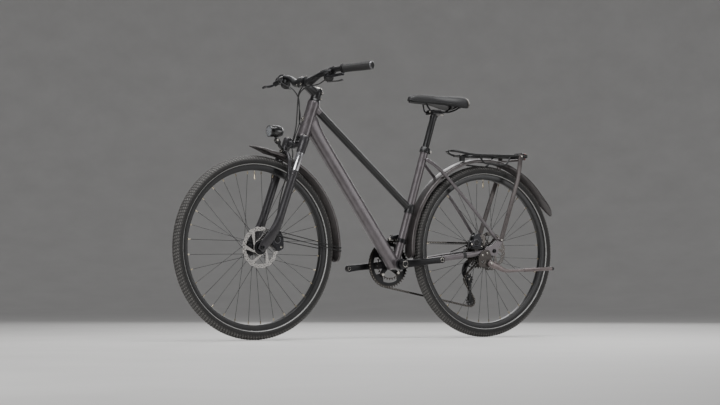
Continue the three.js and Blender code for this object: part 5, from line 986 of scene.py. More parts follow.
# The left control's own directions: outward along the bar, ahead and up, and the lever's pair tilted from them
OUTWARD = unit(BAR_HALF[2] - BAR_HALF[1])
AHEAD = unit(X - OUTWARD * OUTWARD[0])
UP = np.cross(AHEAD, OUTWARD)
LEVER_TILT = math.radians(38.5)
PULL = AHEAD * math.cos(LEVER_TILT) - UP * math.sin(LEVER_TILT)
LEVEL = AHEAD * math.sin(LEVER_TILT) + UP * math.cos(LEVER_TILT)
CONTROL = BAR + [-21, 159, 30.5]
HOSE_EXIT, HOSE_WAY = (-36, 38, -14), (-50, 43, -16)  # where the brake hose leaves the cylinder, and which way
THUMB_DOWN = -39.3  # the thumb lever's plane under the bar


def place(*p):
    """A point of the left control: outward, ahead and up from its origin."""
    return CONTROL + np.array(p, float) @ np.stack([OUTWARD, AHEAD, UP])


def reach(*p):
    """A point of the left lever: outward, along its pull and square to both."""
    return CONTROL + np.array(p, float) @ np.stack([OUTWARD, PULL, LEVEL])


def grip_shells():
    """A turned sleeve with fine ribs r = palm + rib(h) and a closed end, its collar with a screw, its end ring."""
    inner, end = BAR + BAR_HALF[2], BAR + BAR_HALF[3]
    back = unit(inner - end)
    start = end + back * 130
    height = np.linspace(10, 128, 180)
    palm = 15.2 + 1.2 * np.sin(np.clip((height - 10) / 110, 0, 1) * np.pi * 0.62) ** 2
    ribs = 0.35 * (np.sin(height * 2 * np.pi / 4.2) > 0.1) * ((height < 40) | (height > 112))
    ribs = ribs + 0.16 * np.sin(height * 2 * np.pi / 2.6)
    profile = np.vstack([[[11.8, 7], [15, 7]], np.column_stack([palm + ribs, height]),
                         [[16, 130.5], [15.6, 132.6], [13.4, 134], [8, 134.6], [0, 134.6], [0, 130.4], [11.8, 130.4]]])
    ring = turned([[11.7, 0], [17.6, 0], [18.4, 0.8], [18.4, 5.4], [17.6, 6.4], [11.7, 6.4]], start, -back, 40)
    out = unit(np.cross(back, Z))
    screw = bolt(start - back * 3.2 + out * 17.6, out, 2.2, 1.2)
    end_ring = turned([[14.4, 127], [16.4, 127], [16.5, 127.8], [16.5, 131.4], [15.8, 133.2], [13, 134.8],
                       [12.2, 134.2], [14.4, 132.6]], start, -back, 44)
    return [turned(profile, start, -back, 44)], [ring], [end_ring], [screw]


def lever_shells():
    """The blade runs from its boss, hooks out and ends in a ball; sizes ease along it."""
    x, y, z = 22, 43, 4
    boss = turned(collar(3, 9, -4.8, 4.8, 0.8), reach(x, y, z), LEVEL, 28)
    path = [reach(*p) for p in ((x, y, z), (x + 8, y + 13, z + 0.4), (44, 62, z + 0.2), (62, 64.4, z), (80, 61.5, 1.6),
                                (98, 60, 0), (114, 60.8, -1.6), (124, 62, -3))]
    sizes = [[4, 7], [4.4, 5.6], [5, 4.2], [5.4, 3.6], [5.6, 3.3], [5.6, 3.3], [5.2, 3.4], [4.6, 3.4]]
    blade = limb(path, sizes, 7, domed, side=LEVEL, sides=24, power=2.6)
    turn = np.linspace(0, np.pi, 12)
    ball = turned(np.column_stack([5.6 * np.sin(turn), -4.6 * np.cos(turn)]), reach(123, 62, -3), LEVEL, 20)
    return [boss, blade, ball]


def control_shells():
    """Clamp, cylinder with its lid and hose nut, lug with the lever's pin, and the shifter's pod with its window."""
    ring = pipe(place(6.2, 0, 0), place(23.8, 0, 0), 14.8, 11.3, 40)
    hinge = tube([place(15, 0, -13), place(15, -1, -18)], 7.4, 5, side=OUTWARD, sides=20, power=4)
    path = [place(*p) for p in ((24, 16, -5.6), (12, 21, -7), (-4, 27, -10), (-22, 33, -12), (-37, 38.4, -14.1))]
    cylinder = limb(path, [[8, 9], [10.4, 11.2], [11, 12], [9.6, 10.4], [6.4, 6.6]], 7, domed, side=LEVEL, sides=28,
                    power=2.5)
    lid = domed([place(14, 20, 3.2), place(-18, 31.6, 0.2)], 2.4, 8.6, side=LEVEL, sides=24, power=3.4)
    lug = tube([reach(1, 21, 6), reach(14, 34, 6), reach(27, 47, 4)], 9.4, [11, 11, 8], side=LEVEL, sides=20, power=4)
    nut = turned([[0, 0], [4.6, 0], [4.9, 1], [4.9, 7], [3.6, 9], [3.4, 13], [0, 13]], place(*HOSE_EXIT),
                 place(*HOSE_WAY) - place(*HOSE_EXIT), 12)
    path = [place(-5, *p) for p in ((1, -7), (2, -14), (4, -24), (4, -31), (4, -36))]
    pod = limb(path, [[12, 13], [14.6, 16], [15.6, 17.6], [14.4, 16.8], [11, 13.6]], 6, domed, sides=32, power=3.2)
    window = domed([place(-5, -1, -5.6), place(-5, 8, -6.6)], 8, 2, side=OUTWARD, sides=20, power=3)
    barrel = turned([[0, 0], [4.4, 0], [4.7, 1], [4.7, 7], [3.2, 9], [3.2, 14], [0, 14]], place(-16, 4.5, -26),
                    [-0.05, -1, 0.02], 14)
    screws = [bolt(place(*p), UP, 2.1, 1.4) for p in ((9, 21.5, 5.2), (-13.6, 30, 3.2))]
    screws += [bolt(reach(22, 43, 4 + 8), LEVEL, 4.2, 1.8), bolt(reach(22, 43, 4 - 8), -LEVEL, 4.2, 1.8),
               bolt(place(15, -1, -20), -UP, 3.2, 2.4)]
    return [ring, hinge, cylinder, lid, lug, nut], [pod, barrel, window], screws


def shifter_shells():
    """A thumb paddle on its pivot, widened into its pad."""
    boss = turned(collar(3.2, 9, -2.4, 2.4, 0.6), place(-5, 3, THUMB_DOWN), UP, 26)
    path = [place(x, y, THUMB_DOWN + z) for x, y, z in ((-5, 3, 0), (4, -11, 0), (13, -22.5, 0), (24, -30, 1.4),
                                                        (33, -34, 3))]
    return [boss, limb(path, [[2.2, 7], [2.2, 6.2], [2.3, 6.6], [2.6, 7.8], [2.2, 7.2]], 6, domed, side=UP, sides=22,
                       power=3)]


for word, side_of in (("left", list), ("right", mirrored)):
    sleeve, ring, end_ring, screw = map(side_of, grip_shells())
    piece(f"grip_{word}_moulded", [(sleeve, GRIP_RUBBER), (ring, CAST_ALLOY), (end_ring, SATIN_ALLOY),
                                   (screw, BRIGHT_STEEL)], "steering", [f"grip_{word}"], sharp=60)
    piece(f"brake_lever_{word}_forged", [(side_of(lever_shells()), BRAKE_ALLOY)], f"brake_lever_{word}",
          [f"brake_lever_{word}"])
    housing, pod, screws = map(side_of, control_shells())
    piece(f"control_{word}_housing", [(housing, CAST_ALLOY), (pod, NYLON), (screws, BRIGHT_STEEL)], "steering",
          [f"control_{word}"], edge=0.3)
    piece(f"shift_lever_{word}_moulded", [(side_of(shifter_shells()), NYLON)], f"shift_lever_{word}",
          [f"shift_lever_{word}"])

# Hoses and cables; those given two bodies stay in place on neither

HOSE_RADIUS = 2.45
HOSE_START = spots(place(-36.8, 38.3, -14.1), place(*HOSE_WAY))


def line(points, radius, sides=12):
    """A round cord on the smooth curve through its points; its side lies along none of their ways."""
    return tube(smooth_curve(points), radius, side=unit([0.31, 0.87, 0.38]), sides=sides)


def ferrule(at, toward, radius=3.4, length=12):
    """A crimped end sleeve, narrowed at its tip."""
    profile = [[0, 0], [radius, 0], [radius, length * 0.7], [radius * 0.82, length], [0, length]]
    return turned(profile, at, np.subtract(toward, at), 14)


def cables():
    """Gear cables swing from the shifters round the head tube to the down tube; the lamp's lead drops to the brace."""
    right = np.vstack([HOSE_START * [1, -1, 1], BAR + spots([36, -84, -4], [24, -44, -22], [9, -23, -58],
                       [5, -20, -108], [-2, -29, -158], [-30, -34, -193], [-82, -26, -232])])
    left = np.vstack([[place(-20.2, 5, -28)], BAR + spots([-4, 104, -16], [15, 56, -22], [18, 8, -40], [11, -19, -63],
                                                          [5, -21, -98])])
    lead = BAR + spots([8, -20, -88], [12, -2, -128], [24, 6, -168], [40, 6, -209], [58, 6, -251], [78, 6, -264])
    port = turned([[0, 0], [5.6, 0], [6.4, 1.4], [5.8, 3], [3.4, 4.2], [0, 4.2]], BAR + [-84, -25.2, -233.4],
                  [52, -8, 39], 20)
    piece("gear_cables", [([line(right, 2.5), line(left, 2.3)], HOSE_SLEEVE), ([port], NYLON)],
          ("steering", "frame", steer(640, 60), steer(500, 30)), ["control_cables"])
    piece("lamp_lead", [([line(lead, 1.7, 10)], HOSE_SLEEVE)], ("steering", "fork", steer(560, 60), steer(420, 60)),
          ["control_cables"])


def brake_hoses():
    """The front hose hangs from its lever to the caliper; the rear one leaves its stay and drops to the other."""
    front = np.vstack([HOSE_START, BAR + spots([36, 70, -14], [38, 28, -46], [38, 20, -78], [46, 20, -176],
                                               [67, 24, -256]),
                       FRONT_AXLE + spots([-150, 37, 360], [-126, 38.5, 294], [-96, 39, 204], [-77, 41, 114],
                                          [-71, 45, 72])])
    end = ferrule(front[-1] - [0, 0, 6], front[-1] + [0, 0, 10])
    piece("front_hose", [([line(front, HOSE_RADIUS)], HOSE_SLEEVE), ([end], CAST_ALLOY)],
          ("steering", "fork", steer(620, 60), steer(400, 60)), ["front_brake_hose"])
    rear = spots([214, 56, 341], [170, 60, 348], [132, 62, 362], [120, 58, 386], [106, 52, 412], [88, 46, 430],
                 [80, 45, 424.8])
    piece("rear_hose", [([line(rear, HOSE_RADIUS)], HOSE_SLEEVE), ([ferrule(rear[-1], rear[-2], 3.6, 9)], CAST_ALLOY)],
          "frame", ["rear_brake_hose"])


cables()
brake_hoses()

# Saddle and seatpost

SADDLE_AT = seat(640)
SADDLE_FOOT = SADDLE_AT * [1, 0, 0]
RAIL_HEIGHT = SADDLE_AT[2] + 16.96
SADDLE_NOSE, SADDLE_LENGTH = 127.0, 276.0
# At shares of the length from the nose: half width, crown, underside and droop of the edge, heights over the rails
SADDLE_TABLE = spots([0, 8, 51, 44, 2], [0.03, 15, 59, 42, 5], [0.1, 20, 64.5, 42, 8], [0.25, 24, 66.5, 42, 9],
                     [0.4, 30, 66, 41.5, 10], [0.52, 41, 65, 41, 13], [0.64, 57, 65.5, 40, 17],
                     [0.76, 69, 67, 38, 20], [0.87, 73, 67.5, 37, 22], [0.95, 64, 65, 39, 20], [1, 38, 58, 43, 12])


def saddle_rows(share):
    """Half width, crown, underside and droop at shares of the length, by the smooth curve through the table."""
    fine = smooth_curve(SADDLE_TABLE, 12)
    return [np.interp(share, fine[:, 0], fine[:, k]) for k in range(1, 5)]


def eased_shares(start, end, count):
    """Shares that crowd towards 0 and 1: half of 1 - cos of an even turn."""
    return 0.5 - 0.5 * np.cos(np.linspace(start, end, count) * np.pi)


def saddle_cover(start=0.0, proud=0.0, rows=110):
    """Over u along and v across: z = low + (crown - low)(1 - |v|^3.2)^(1/2), sunk by a channel, creased at a seam.

    Begun at a later start and standing proud by a little, it is the tail's trim, lighter as a painted highlight.
    """
    u = start + (1 - start) * eased_shares(0, 1, rows)
    half, top, under, droop = (row[:, None] for row in saddle_rows(u))
    u = u[:, None]
    v = np.sin(np.linspace(-1, 1, 97) * np.pi / 2)[None, :]
    rise = np.sqrt(np.maximum(0, 1 - np.abs(v) ** 3.2))
    low = RAIL_HEIGHT + under - droop * 0.62
    high = RAIL_HEIGHT + top - 0.35
    channel = 2.6 * np.exp(-(v * half / 7.5) ** 2) * np.clip((u - 0.3) / 0.16, 0, 1) * np.clip((0.97 - u) / 0.16, 0, 1)
    seam = 0.55 * np.exp(-(((np.abs(v) - 0.6) * half) / 1.1) ** 2)
    seam = seam * np.clip((u - 0.42) / 0.1, 0, 1) * np.clip((0.98 - u) / 0.05, 0, 1)
    z = low + (high - low) * (0.1 + 0.9 * rise) - channel - seam
    end_round = np.minimum(1, np.sqrt(np.clip(np.minimum(u, 1 - u) / 0.012, 0.0, 1)))
    z = low + (z - low) * (0.35 + 0.65 * end_round) + proud
    x = SADDLE_AT[0] + SADDLE_NOSE - SADDLE_LENGTH * u - proud * (u > 0.97) + 0 * v
    upper = np.stack([x, (half + proud) * v * 0.995, z], -1)
    w = np.linspace(0.94, -0.94, 41)[None, :]
    lower = np.stack([x[:, :1] + 0 * w, half * w, RAIL_HEIGHT + under - droop * w**2 + 0.6], -1)
    return skin(np.concatenate([upper, lower], 1))


def welt():
    """A thin cord of trim round the lower edge of the cover."""
    u = eased_shares(0.06, 0.985, 110)
    half, _, under, droop = saddle_rows(u)
    x = SADDLE_AT[0] + SADDLE_NOSE - SADDLE_LENGTH * u
    one = np.column_stack([x, half * 0.985, RAIL_HEIGHT + under - droop * 0.62 + 2.2])
    return tube(np.vstack([one, (one * [1, -1, 1])[::-1]]), 1.1, side=Z, sides=10, loop=True)


# The tail's trim takes the lighter colour of a painted highlight
cover = piece("saddle_cover_stitched", [([saddle_cover()], SADDLE_SKIN), ([welt()], NYLON),
                                        ([saddle_cover(0.92, 0.5, 24)], SADDLE_TAIL_HIGHLIGHT)],
              "seat", ["saddle_cushion"], sharp=60)


def saddle_shell():
    """The moulded shell under the cover, a thin droop z = under - droop v^2, with its rails and their sockets."""
    u = np.linspace(0.04, 0.955, 60)
    half, _, under, droop = (row[:, None] for row in saddle_rows(u))
    v = np.linspace(0.88, -0.88, 31)[None, :]
    x = SADDLE_AT[0] + SADDLE_NOSE - SADDLE_LENGTH * u[:, None] + 0 * v
    z = RAIL_HEIGHT + under - droop * v**2 - 0.9
    up_face = np.stack([x, half * v, z], -1)
    down_face = np.stack([x, half * v, z - 3.4], -1)[:, ::-1]
    moulded = [skin(np.concatenate([up_face, down_face], 1))]
    rail = spots([48, 10, 37], [39, 16, 16], [27, 22, 0.5], [-8.5, 22, 0], [-58.5, 22, 0], [-94.5, 30, 13],
                 [-112.5, 34, 27])
    rails = []
    for side in (LEFT, RIGHT):
        path = SADDLE_FOOT + Z * RAIL_HEIGHT + rail * [1, side, 1]
        rails.append(tube(smooth_curve(path), 3.5, sides=18))
        way = unit(path[-1] - path[-2])
        moulded.append(tube([path[-1] - way * 9, path[-1] + way], 6.5, sides=18, power=3))
    moulded.append(tube([SADDLE_FOOT + [43, 0, RAIL_HEIGHT + 29], SADDLE_FOOT + [52, 0, RAIL_HEIGHT + 38]], 14, 5,
                        sides=20, power=4))
    piece("saddle_shell_rails", [(moulded, NYLON), (rails, CAST_ALLOY)], "seat", ["saddle_base"])


def seatpost():
    """A drawn tube, a forged head, two clamp plates over the rails and the bolts that draw them together."""
    drawn = turned([[11.2, 340], [13.2, 340], [13.6, 340.6], [13.6, 634], [11.2, 634]], SHELL, SEAT_UP, 44)
    head = limb([seat(622), seat(632), seat(640, 1), SADDLE_AT + [-1, 0, 4]],
                [[13.5, 13.5], [14, 13.8], [15, 15], [17, 19]], 5, sides=32, power=2.6)
    top = RAIL_HEIGHT - 3.8
    plates = [tube([SADDLE_FOOT + [back, 0, height], SADDLE_FOOT + [ahead, 0, height]], half, rise, sides=28, power=5)
              for back, ahead, height, half, rise in ((-26, 21, top - 4, 27.5, 4),
                                                      (-20, 16, RAIL_HEIGHT + 4.6, 26.5, 2.8))]
    bolts = [turned([[0, 0], [4, 0], [4, 14], [4.8, 14.4], [4.8, 19], [4, 20], [2.2, 20], [2.2, 17], [0, 17]],
                    SADDLE_FOOT + [-30, 0, top - 6], [-1, 0, -0.05], 18)]
    bolts += [rod(SADDLE_FOOT + [x, 0, top - 12], SADDLE_FOOT + [x, 0, RAIL_HEIGHT + 10], 3, 14) for x in (-24, 18)]
    piece("seatpost_forged", [([drawn, head] + plates, BLACK_PAINT), (bolts, BRIGHT_STEEL)], "seat",
          ["seatpost"], edge=0.3)


saddle_shell()
seatpost()

# Rack, tail light and stand

DECK = 752.0


def on_deck(rows, side):
    """Points given from the deck's height, on one side of the rack."""
    return spots(*rows) * [1, side, 1] + [0, 0, DECK]


def rack():
    """Bent round bar throughout: a deck rail with its nose bow, cross rods, side loops, tail plate and foot."""
    rail_rows = [[-182, 60, 5], [60, 60, 0], [108, 59, 1], [172, 33, 16]]
    rail = np.vstack([on_deck(rail_rows, LEFT), on_deck(rail_rows, RIGHT)[::-1]])
    shapes = [tube(bent(rail, 26, 9), 4.9, sides=18)]
    for x, lift in ((-110, 3.5), (-40, 2), (30, 0.5), (109, 0)):
        across = [[x, -58, DECK + lift], [x, -20, DECK + lift + 0.4], [x, 20, DECK + lift + 0.4], [x, 58, DECK + lift]]
        shapes.append(tube(smooth_curve(across, 5), 3.9, side=X, sides=16))
    loop_rows = [[66, 60, 0], [46, 66, -34], [-70, 66, -39], [-100, 60, 3]]
    shapes += [tube(bent(on_deck(loop_rows, side), 18, 8), 3.9, sides=16) for side in (LEFT, RIGHT)]
    tail = rounded([[-62, 748.4], [62, 748.4], [62, 763.6], [-62, 763.6]], 6, 6)
    shapes.append(flat_plate([tail], -188, -180.4, side_on))
    shapes.append(tube([[109, 0, 728.6], [109, 0, 751]], 9.6, side=X, sides=20, power=5))
    bolts = [bolt([109 + ahead, 0, 751.8], Z, 3.6, 2.4) for ahead in (-5, 5)]
    bolts += [bolt([-184, side * 60, 764], Z, 3.6, 2.2) for side in (LEFT, RIGHT)]
    piece("rack_bent", [(shapes, POWDER_BLACK), (bolts, BRIGHT_STEEL)], "frame", ["rack"], edge=0.3)


def struts():
    """Flat formed struts with a knee, bolted to the dropouts, and the round tie between them."""
    shapes, bolts = [], []
    for side in (LEFT, RIGHT):
        path = bent(spots([-148, 68.5, 761.4], [-130, 72, 663], [-32, 79.1, 399]) * [1, side, 1], 24, 8)
        shapes.append(domed(path, 3.9, 9.8, sides=28, power=4.5))
        bolts.append(bolt([-33, side * 82.8, 402], side * Y, 4.4, 2.6))
        bolts.append(bolt([-147, side * 72.3, 754], side * Y, 4.4, 2.6))
    shapes.append(tube([[-143, -68, 738], [-143, 0, 738], [-143, 68, 738]], 4.9, side=X, sides=18))
    piece("rack_struts_formed", [(shapes, STRUT_PAINT), (bolts, BRIGHT_STEEL)], "frame", ["rack_struts"])


def tail_light():
    """A shell of rounded outline, and a red lens that steps in twice behind it."""
    loop = rounded([[-32, 740.2], [32, 740.2], [32, 771.8], [-32, 771.8]], 9, 8)
    shell, lens, face = (flat_plate([loop + ([0, 756] - loop) * slimmer], low, high, side_on)
                         for slimmer, low, high in ((0, -196, -188.3), (0.05, -202.4, -196), (0.2, -204, -202.3)))
    piece("tail_light_moulded", [([shell], LAMP_SHELL), ([lens, face], RED_LENS)], "frame",
          ["tail_light"], edge=0.6)


STAND_ROOT, STAND_KNEE, STAND_TIP = spots([29, 88.6, 304], [-45, 95.1, 273], [-284, 112, 285])
STAND_TILT = math.radians(13.06)  # how far its hinge rises outward


def stand_bracket():
    """A forged plate bolted under the stay, with a slot and a raised pad under its bolts."""
    edge = rounded([[22, 294], [34, 288], [80, 290], [84, 330], [62, 358], [30, 360], [16, 330]], 9, 6)
    slot = rounded([[44, 302], [70, 304], [72, 316], [44, 314]], 6, 6)
    plate = flat_plate([edge, ring_points(5.4, 20, 0, (29, 304)), slot], 74.9, 79.7)
    pad = flat_plate([rounded([[26, 324], [76, 322], [78, 330], [60, 352], [33, 354]], 7, 6)], 79.6, 80.5)
    bolts = [bolt([x, 80.6, z], Y, 5, 3.4) for x, z in ((42, 346), (66, 338))]
    # The plate and its pad take the darker paint, painted shade under the stay
    piece("stand_bracket_forged", [([plate, pad], BRACKET_PAINT_SHADED), (bolts, BRIGHT_STEEL)], "frame",
          ["kickstand_bracket"], edge=0.5)


def stand_leg():
    """A leg that bends at its knee and ends in a sleeve with a rubber foot, on the hinge bolt at its root."""
    to_knee, to_tip = STAND_KNEE - STAND_ROOT, STAND_TIP - STAND_KNEE
    toward = unit(to_tip)
    path = [STAND_ROOT + [8, 0, 6], STAND_ROOT, STAND_ROOT + to_knee * 0.5, STAND_KNEE - unit(to_knee) * 8,
            STAND_KNEE + toward * 12, STAND_KNEE + to_tip * 0.2, STAND_KNEE + to_tip * 0.42]
    leg = limb(path, [[6.3, 11.6], [6.4, 13.6], [6.8, 11.4], [6.9, 9.2], [6.3, 7.2], [5.7, 6], [5.7, 5.8]], 7, domed,
               sides=28, power=2.5)
    axis = np.array([0, math.cos(STAND_TILT), math.sin(STAND_TILT)])
    hinge = [rod(STAND_ROOT - axis * 13.6, STAND_ROOT, 4.9), bolt(STAND_ROOT + axis * 6.2, axis, 6.2, 3)]
    start = STAND_KNEE + to_tip * 0.385
    end = np.linalg.norm(STAND_TIP - start)
    # The ring, dark rubber at the sleeve's mouth, is painted shade standing for the gap between leg and sleeve
    sleeve, ring, foot = (turned(profile, start, toward, 32) for profile in (
        [[0, 0], [6.6, 0], [7.5, 1.2], [7.5, end - 10], [6.6, end - 9], [0, end - 9]],
        [[0, -1.6], [6.9, -1.6], [6.9, 0.6], [0, 0.6]],
        [[0, end - 10], [7.3, end - 10], [7.55, end - 9], [7.55, end - 3], [6.8, end - 0.8], [5.4, end], [0, end]]))
    piece("stand_leg_forged", [([leg, sleeve], STAND_PAINT), (hinge, BRIGHT_STEEL), ([foot, ring], GRIP_RUBBER)],
          "kickstand", ["kickstand_leg"])


rack()
struts()
tail_light()
stand_bracket()
stand_leg()

# Drive

CHAIN_PITCH = 12.7
CHAIN_SIDE = -47.0
CRANK_TILT = math.radians(6.2)
PEDAL_EYE = 170
BOLT_TURNS = np.arange(4) * np.pi / 2 + np.pi / 4
BIG_RING, SMALL_RING, PULLEY_TEETH = 46, 30, 11
COGS = [11, 12, 13, 15, 17, 20, 24, 29, 34]
DRIVEN_COG = 4
COG_SIDE, COG_STEP = -62, 3.75  # the smallest sprocket's place along the axle, and the way to the next
COG_STAGGER = 0.1  # each sprocket is turned by this against the one before
GUIDE = np.array([42.0, CHAIN_SIDE, 240.0])
TENSION = np.array([33.0, CHAIN_SIDE, 149.0])


def pitch_radius(teeth):
    """The radius on which the pins lie: half a pitch over the sine of half a tooth's angle."""
    return CHAIN_PITCH / 2 / math.sin(math.pi / teeth)


def sprocket_loop(teeth, turn=0.0):
    """A sprocket's edge: each tooth's radius by its share of the pitch, from the roller's seat up to the tip."""
    share = np.array([-0.5, -0.37, -0.24, -0.17, -0.06, 0.06, 0.17, 0.24, 0.37])
    over = np.array([-4.05, -3.7, -2.4, -0.2, 3.0, 3.0, -0.2, -2.4, -3.7])
    angle = (np.arange(teeth)[:, None] + share) * 2 * np.pi / teeth + turn
    return polar(pitch_radius(teeth) + over, angle).reshape(-1, 2)


def window_loop(inner, outer, middle, half_angle):
    """A window between two radii and two rays."""
    turns = np.linspace(-half_angle, half_angle, 7) + middle
    return np.vstack([polar(outer, turns), polar(inner, turns[::-1])])


def chain_line():
    """The chain's closed middle line in X-Z: straight tangents between wheels, arcs from one heading to the next."""
    stops = [(SHELL, pitch_radius(BIG_RING), 1), (REAR_AXLE, pitch_radius(COGS[DRIVEN_COG]), 1),
             (GUIDE, pitch_radius(PULLEY_TEETH), -1), (TENSION, pitch_radius(PULLEY_TEETH), 1)]
    runs = []
    for (one, r1, t1), (two, r2, t2) in zip(stops, stops[1:] + stops[:1]):
        dx, dz = (two - one)[[0, 2]]
        heading = math.atan2(dz, dx) - math.asin((t2 * r2 - t1 * r1) / math.hypot(dx, dz))
        normal = np.array([-math.sin(heading), math.cos(heading)])
        runs.append((one[[0, 2]] - t1 * r1 * normal, heading))
    points = []
    for (start, heading), (_, after), (centre, radius, turn) in zip(runs, runs[1:] + runs[:1], stops[1:] + stops[:1]):
        sweep = (after - heading) * turn % (2 * np.pi)
        angles = heading + turn * sweep * np.linspace(0, 1, 60)
        arc = centre[[0, 2]] + turn * radius * np.column_stack([np.sin(angles), -np.cos(angles)])
        points += [start[None], arc]
    return np.vstack(points)


def chain_pins():
    """The chain's pins, at even arc length along its middle line, an even number of them."""
    path = chain_line()
    path = np.vstack([path, path[:1]])
    along = np.concatenate([[0], np.cumsum(np.linalg.norm(np.diff(path, axis=0), axis=1))])
    count = int(round(along[-1] / CHAIN_PITCH / 2)) * 2
    stations = np.linspace(0, along[-1], count + 1)
    return np.column_stack([np.interp(stations, along, path[:, k]) for k in (0, 1)])


PINS = chain_pins()


def meshing_turn(teeth, centre):
    """The turn that sets a sprocket's valleys under the pins on its pitch circle: the mean phase of those pins."""
    from_centre = PINS - centre[[0, 2]]
    on_circle = np.abs(np.linalg.norm(from_centre, axis=1) - pitch_radius(teeth)) < 0.6
    angles = np.arctan2(from_centre[on_circle, 1], from_centre[on_circle, 0])
    return np.angle(np.exp(1j * teeth * angles).mean()) / teeth - np.pi / teeth


def about_crank(shells):
    """Shells of the crankset's own frame at its axle, tilted with the cranks: x cos + z sin and z cos - x sin."""
    c, s = math.cos(CRANK_TILT), math.sin(CRANK_TILT)
    tilt = np.array([[c, 0, -s], [0, 1, 0], [s, 0, c]])
    return [(points @ tilt + SHELL, faces) for points, faces in shells]


def bolted_loop(radius, inward, reach):
    """A ring's inner edge, drawn inward at its four bolts: radius - inward (1 - turn / reach)^0.6 on each side."""
    turns = np.arange(240) * 2 * np.pi / 240
    near_bolt = np.min(np.abs((turns[:, None] - BOLT_TURNS + np.pi) % (2 * np.pi) - np.pi), axis=1)
    return polar(radius - inward * np.clip(1 - near_bolt / reach, 0, 1) ** 0.6, turns)


def chainrings():
    """A toothed ring on its black web, the small ring inside it, and the four bolts through all of them."""
    big_edge = sprocket_loop(BIG_RING, meshing_turn(BIG_RING, SHELL) + CRANK_TILT)
    teeth = [flat_plate([big_edge, ring_points(84, 120)], CHAIN_SIDE - 0.9, CHAIN_SIDE + 0.9),
             flat_plate([sprocket_loop(SMALL_RING), bolted_loop(54.5, 6.5, 0.2)], -40.4, -38.6)]
    web = flat_plate([ring_points(86, 120), bolted_loop(74, 25, 0.3)], CHAIN_SIDE - 1.5, CHAIN_SIDE + 1.5)
    profile = [[0, -56.4], [3, -56.4], [3.4, -55], [6.4, -55], [6.6, -54], [6.6, -53], [4.4, -52.6], [4.4, -38],
               [6, -38], [6, -36.6], [0, -36.6]]
    bolts = [turned(profile, [x, 0, z], Y, 20) for x, z in polar(54, BOLT_TURNS)]
    piece("chainrings_cut", [(about_crank([web]), CAST_ALLOY), (about_crank(teeth), OILED_STEEL),
                             (about_crank(bolts), BRIGHT_STEEL)], "crankset", ["chainrings"], edge=0.15)


def crank_arm(side):
    """An eased arm with its boss and cap at the axle and its pedal eye, and the bright rings of eye and boss."""
    path = spots([0, 60, 0], [-18, 66, 0], [-44, 77.5, 0], [-90, 83, 0], [-130, 85, 0], [-158, 85, 0],
                 [-172, 85, 0]) * [side, side, 1]
    arm = limb(path, [[8.5, 16], [7.4, 15.6], [6.6, 14.4], [6.4, 12.6], [6.3, 12.2], [6.3, 13.2], [6.3, 12.6]], 7,
               domed, sides=32, power=3.6)
    eye, boss, cap, eye_ring, boss_ring = (
        turned(np.multiply(profile, [1, side]), [-side * along, 0, 0], Y, steps) for along, steps, profile in (
            (PEDAL_EYE, 40, [[7, 78.4], [13, 78.4], [14, 79.4], [14, 90.6], [13.2, 91.5], [7, 91.5]]),
            (0, 44, [[10, 47], [15.4, 47], [17, 49], [17, 69.5], [15.6, 72], [10, 72]]),
            (0, 36, [[0, 66], [10.6, 66], [10.6, 72], [7, 72.4], [6.4, 70.4], [0, 70.4]]),
            (PEDAL_EYE, 32, [[6.2, 78.6], [9, 78.6], [9, 91.8], [8.4, 92.2], [7, 92.2], [6.2, 91]]),
            (0, 40, [[10.6, 69], [13, 69], [13, 72.8], [12.2, 73.4], [10.9, 73.2]])))
    return [arm, eye, boss, cap], [eye_ring, boss_ring]


def cranks():
    """The left arm has its pinch bolt; the right one carries the axle and the four legs that hold the rings."""
    shells, bright = crank_arm(LEFT)
    bright.append(bolt([-21, 58, 14.5], Z, 3.4, 2.6))
    piece("crank_left_forged", [(about_crank(shells), CAST_ALLOY), (about_crank(bright), BRIGHT_STEEL)], "crankset",
          ["crank_arm_left"], edge=0.4)
    shells, bright = crank_arm(RIGHT)
    shells.append(rod([0, -48, 0], [0, 66, 0], 12, 32))
    for x, z in polar(1, BOLT_TURNS):
        out = np.array([x, 0, z])
        path = [[0, -53, 0], out * 26 - Y * 52.6, out * 46 - Y * 51.4, out * 59 - Y * 50.6]
        shells.append(limb(path, [[5.4, 15], [4.4, 11], [3.4, 8.6], [2.4, 8]], 5, domed, sides=20, power=3.4))
    piece("crank_right_forged", [(about_crank(shells), CAST_ALLOY), (about_crank(bright), BRIGHT_STEEL)], "crankset",
          ["crank_arm_right"], edge=0.4)


def cassette():
    """Nine sprockets, the larger ones lightened by windows, on their core with the lock ring outside."""
    cogs = []
    start = meshing_turn(COGS[DRIVEN_COG], REAR_AXLE) - COG_STAGGER * DRIVEN_COG
    for k, count in enumerate(COGS):
        side = COG_SIDE + COG_STEP * k
        loops = [sprocket_loop(count, start + COG_STAGGER * k), ring_points(15.5, 36)]
        room = pitch_radius(count) - 7
        if room > 30:
            loops += [window_loop(22, room, turn, 0.34 if count < 29 else 0.4)
                      for turn in np.arange(6) * np.pi / 3 + 0.13 * k]
        cogs.append(flat_plate(loops, side - 0.9, side + 0.9))
    core = pipe([0, -64.5, 0], [0, -22, 0], 17.2, 5.3, 40)
    ring = turned([[5.4, -67], [13, -67], [17.5, -66], [18.2, -64.6], [5.4, -64.6]], (0, 0, 0), Y, 36)
    piece("cassette_stamped", [(all_moved(cogs, REAR_AXLE), OILED_STEEL), ([moved(core, REAR_AXLE)], CAST_ALLOY),
                               ([moved(ring, REAR_AXLE)], BRIGHT_STEEL)], "cassette", ["cassette"])


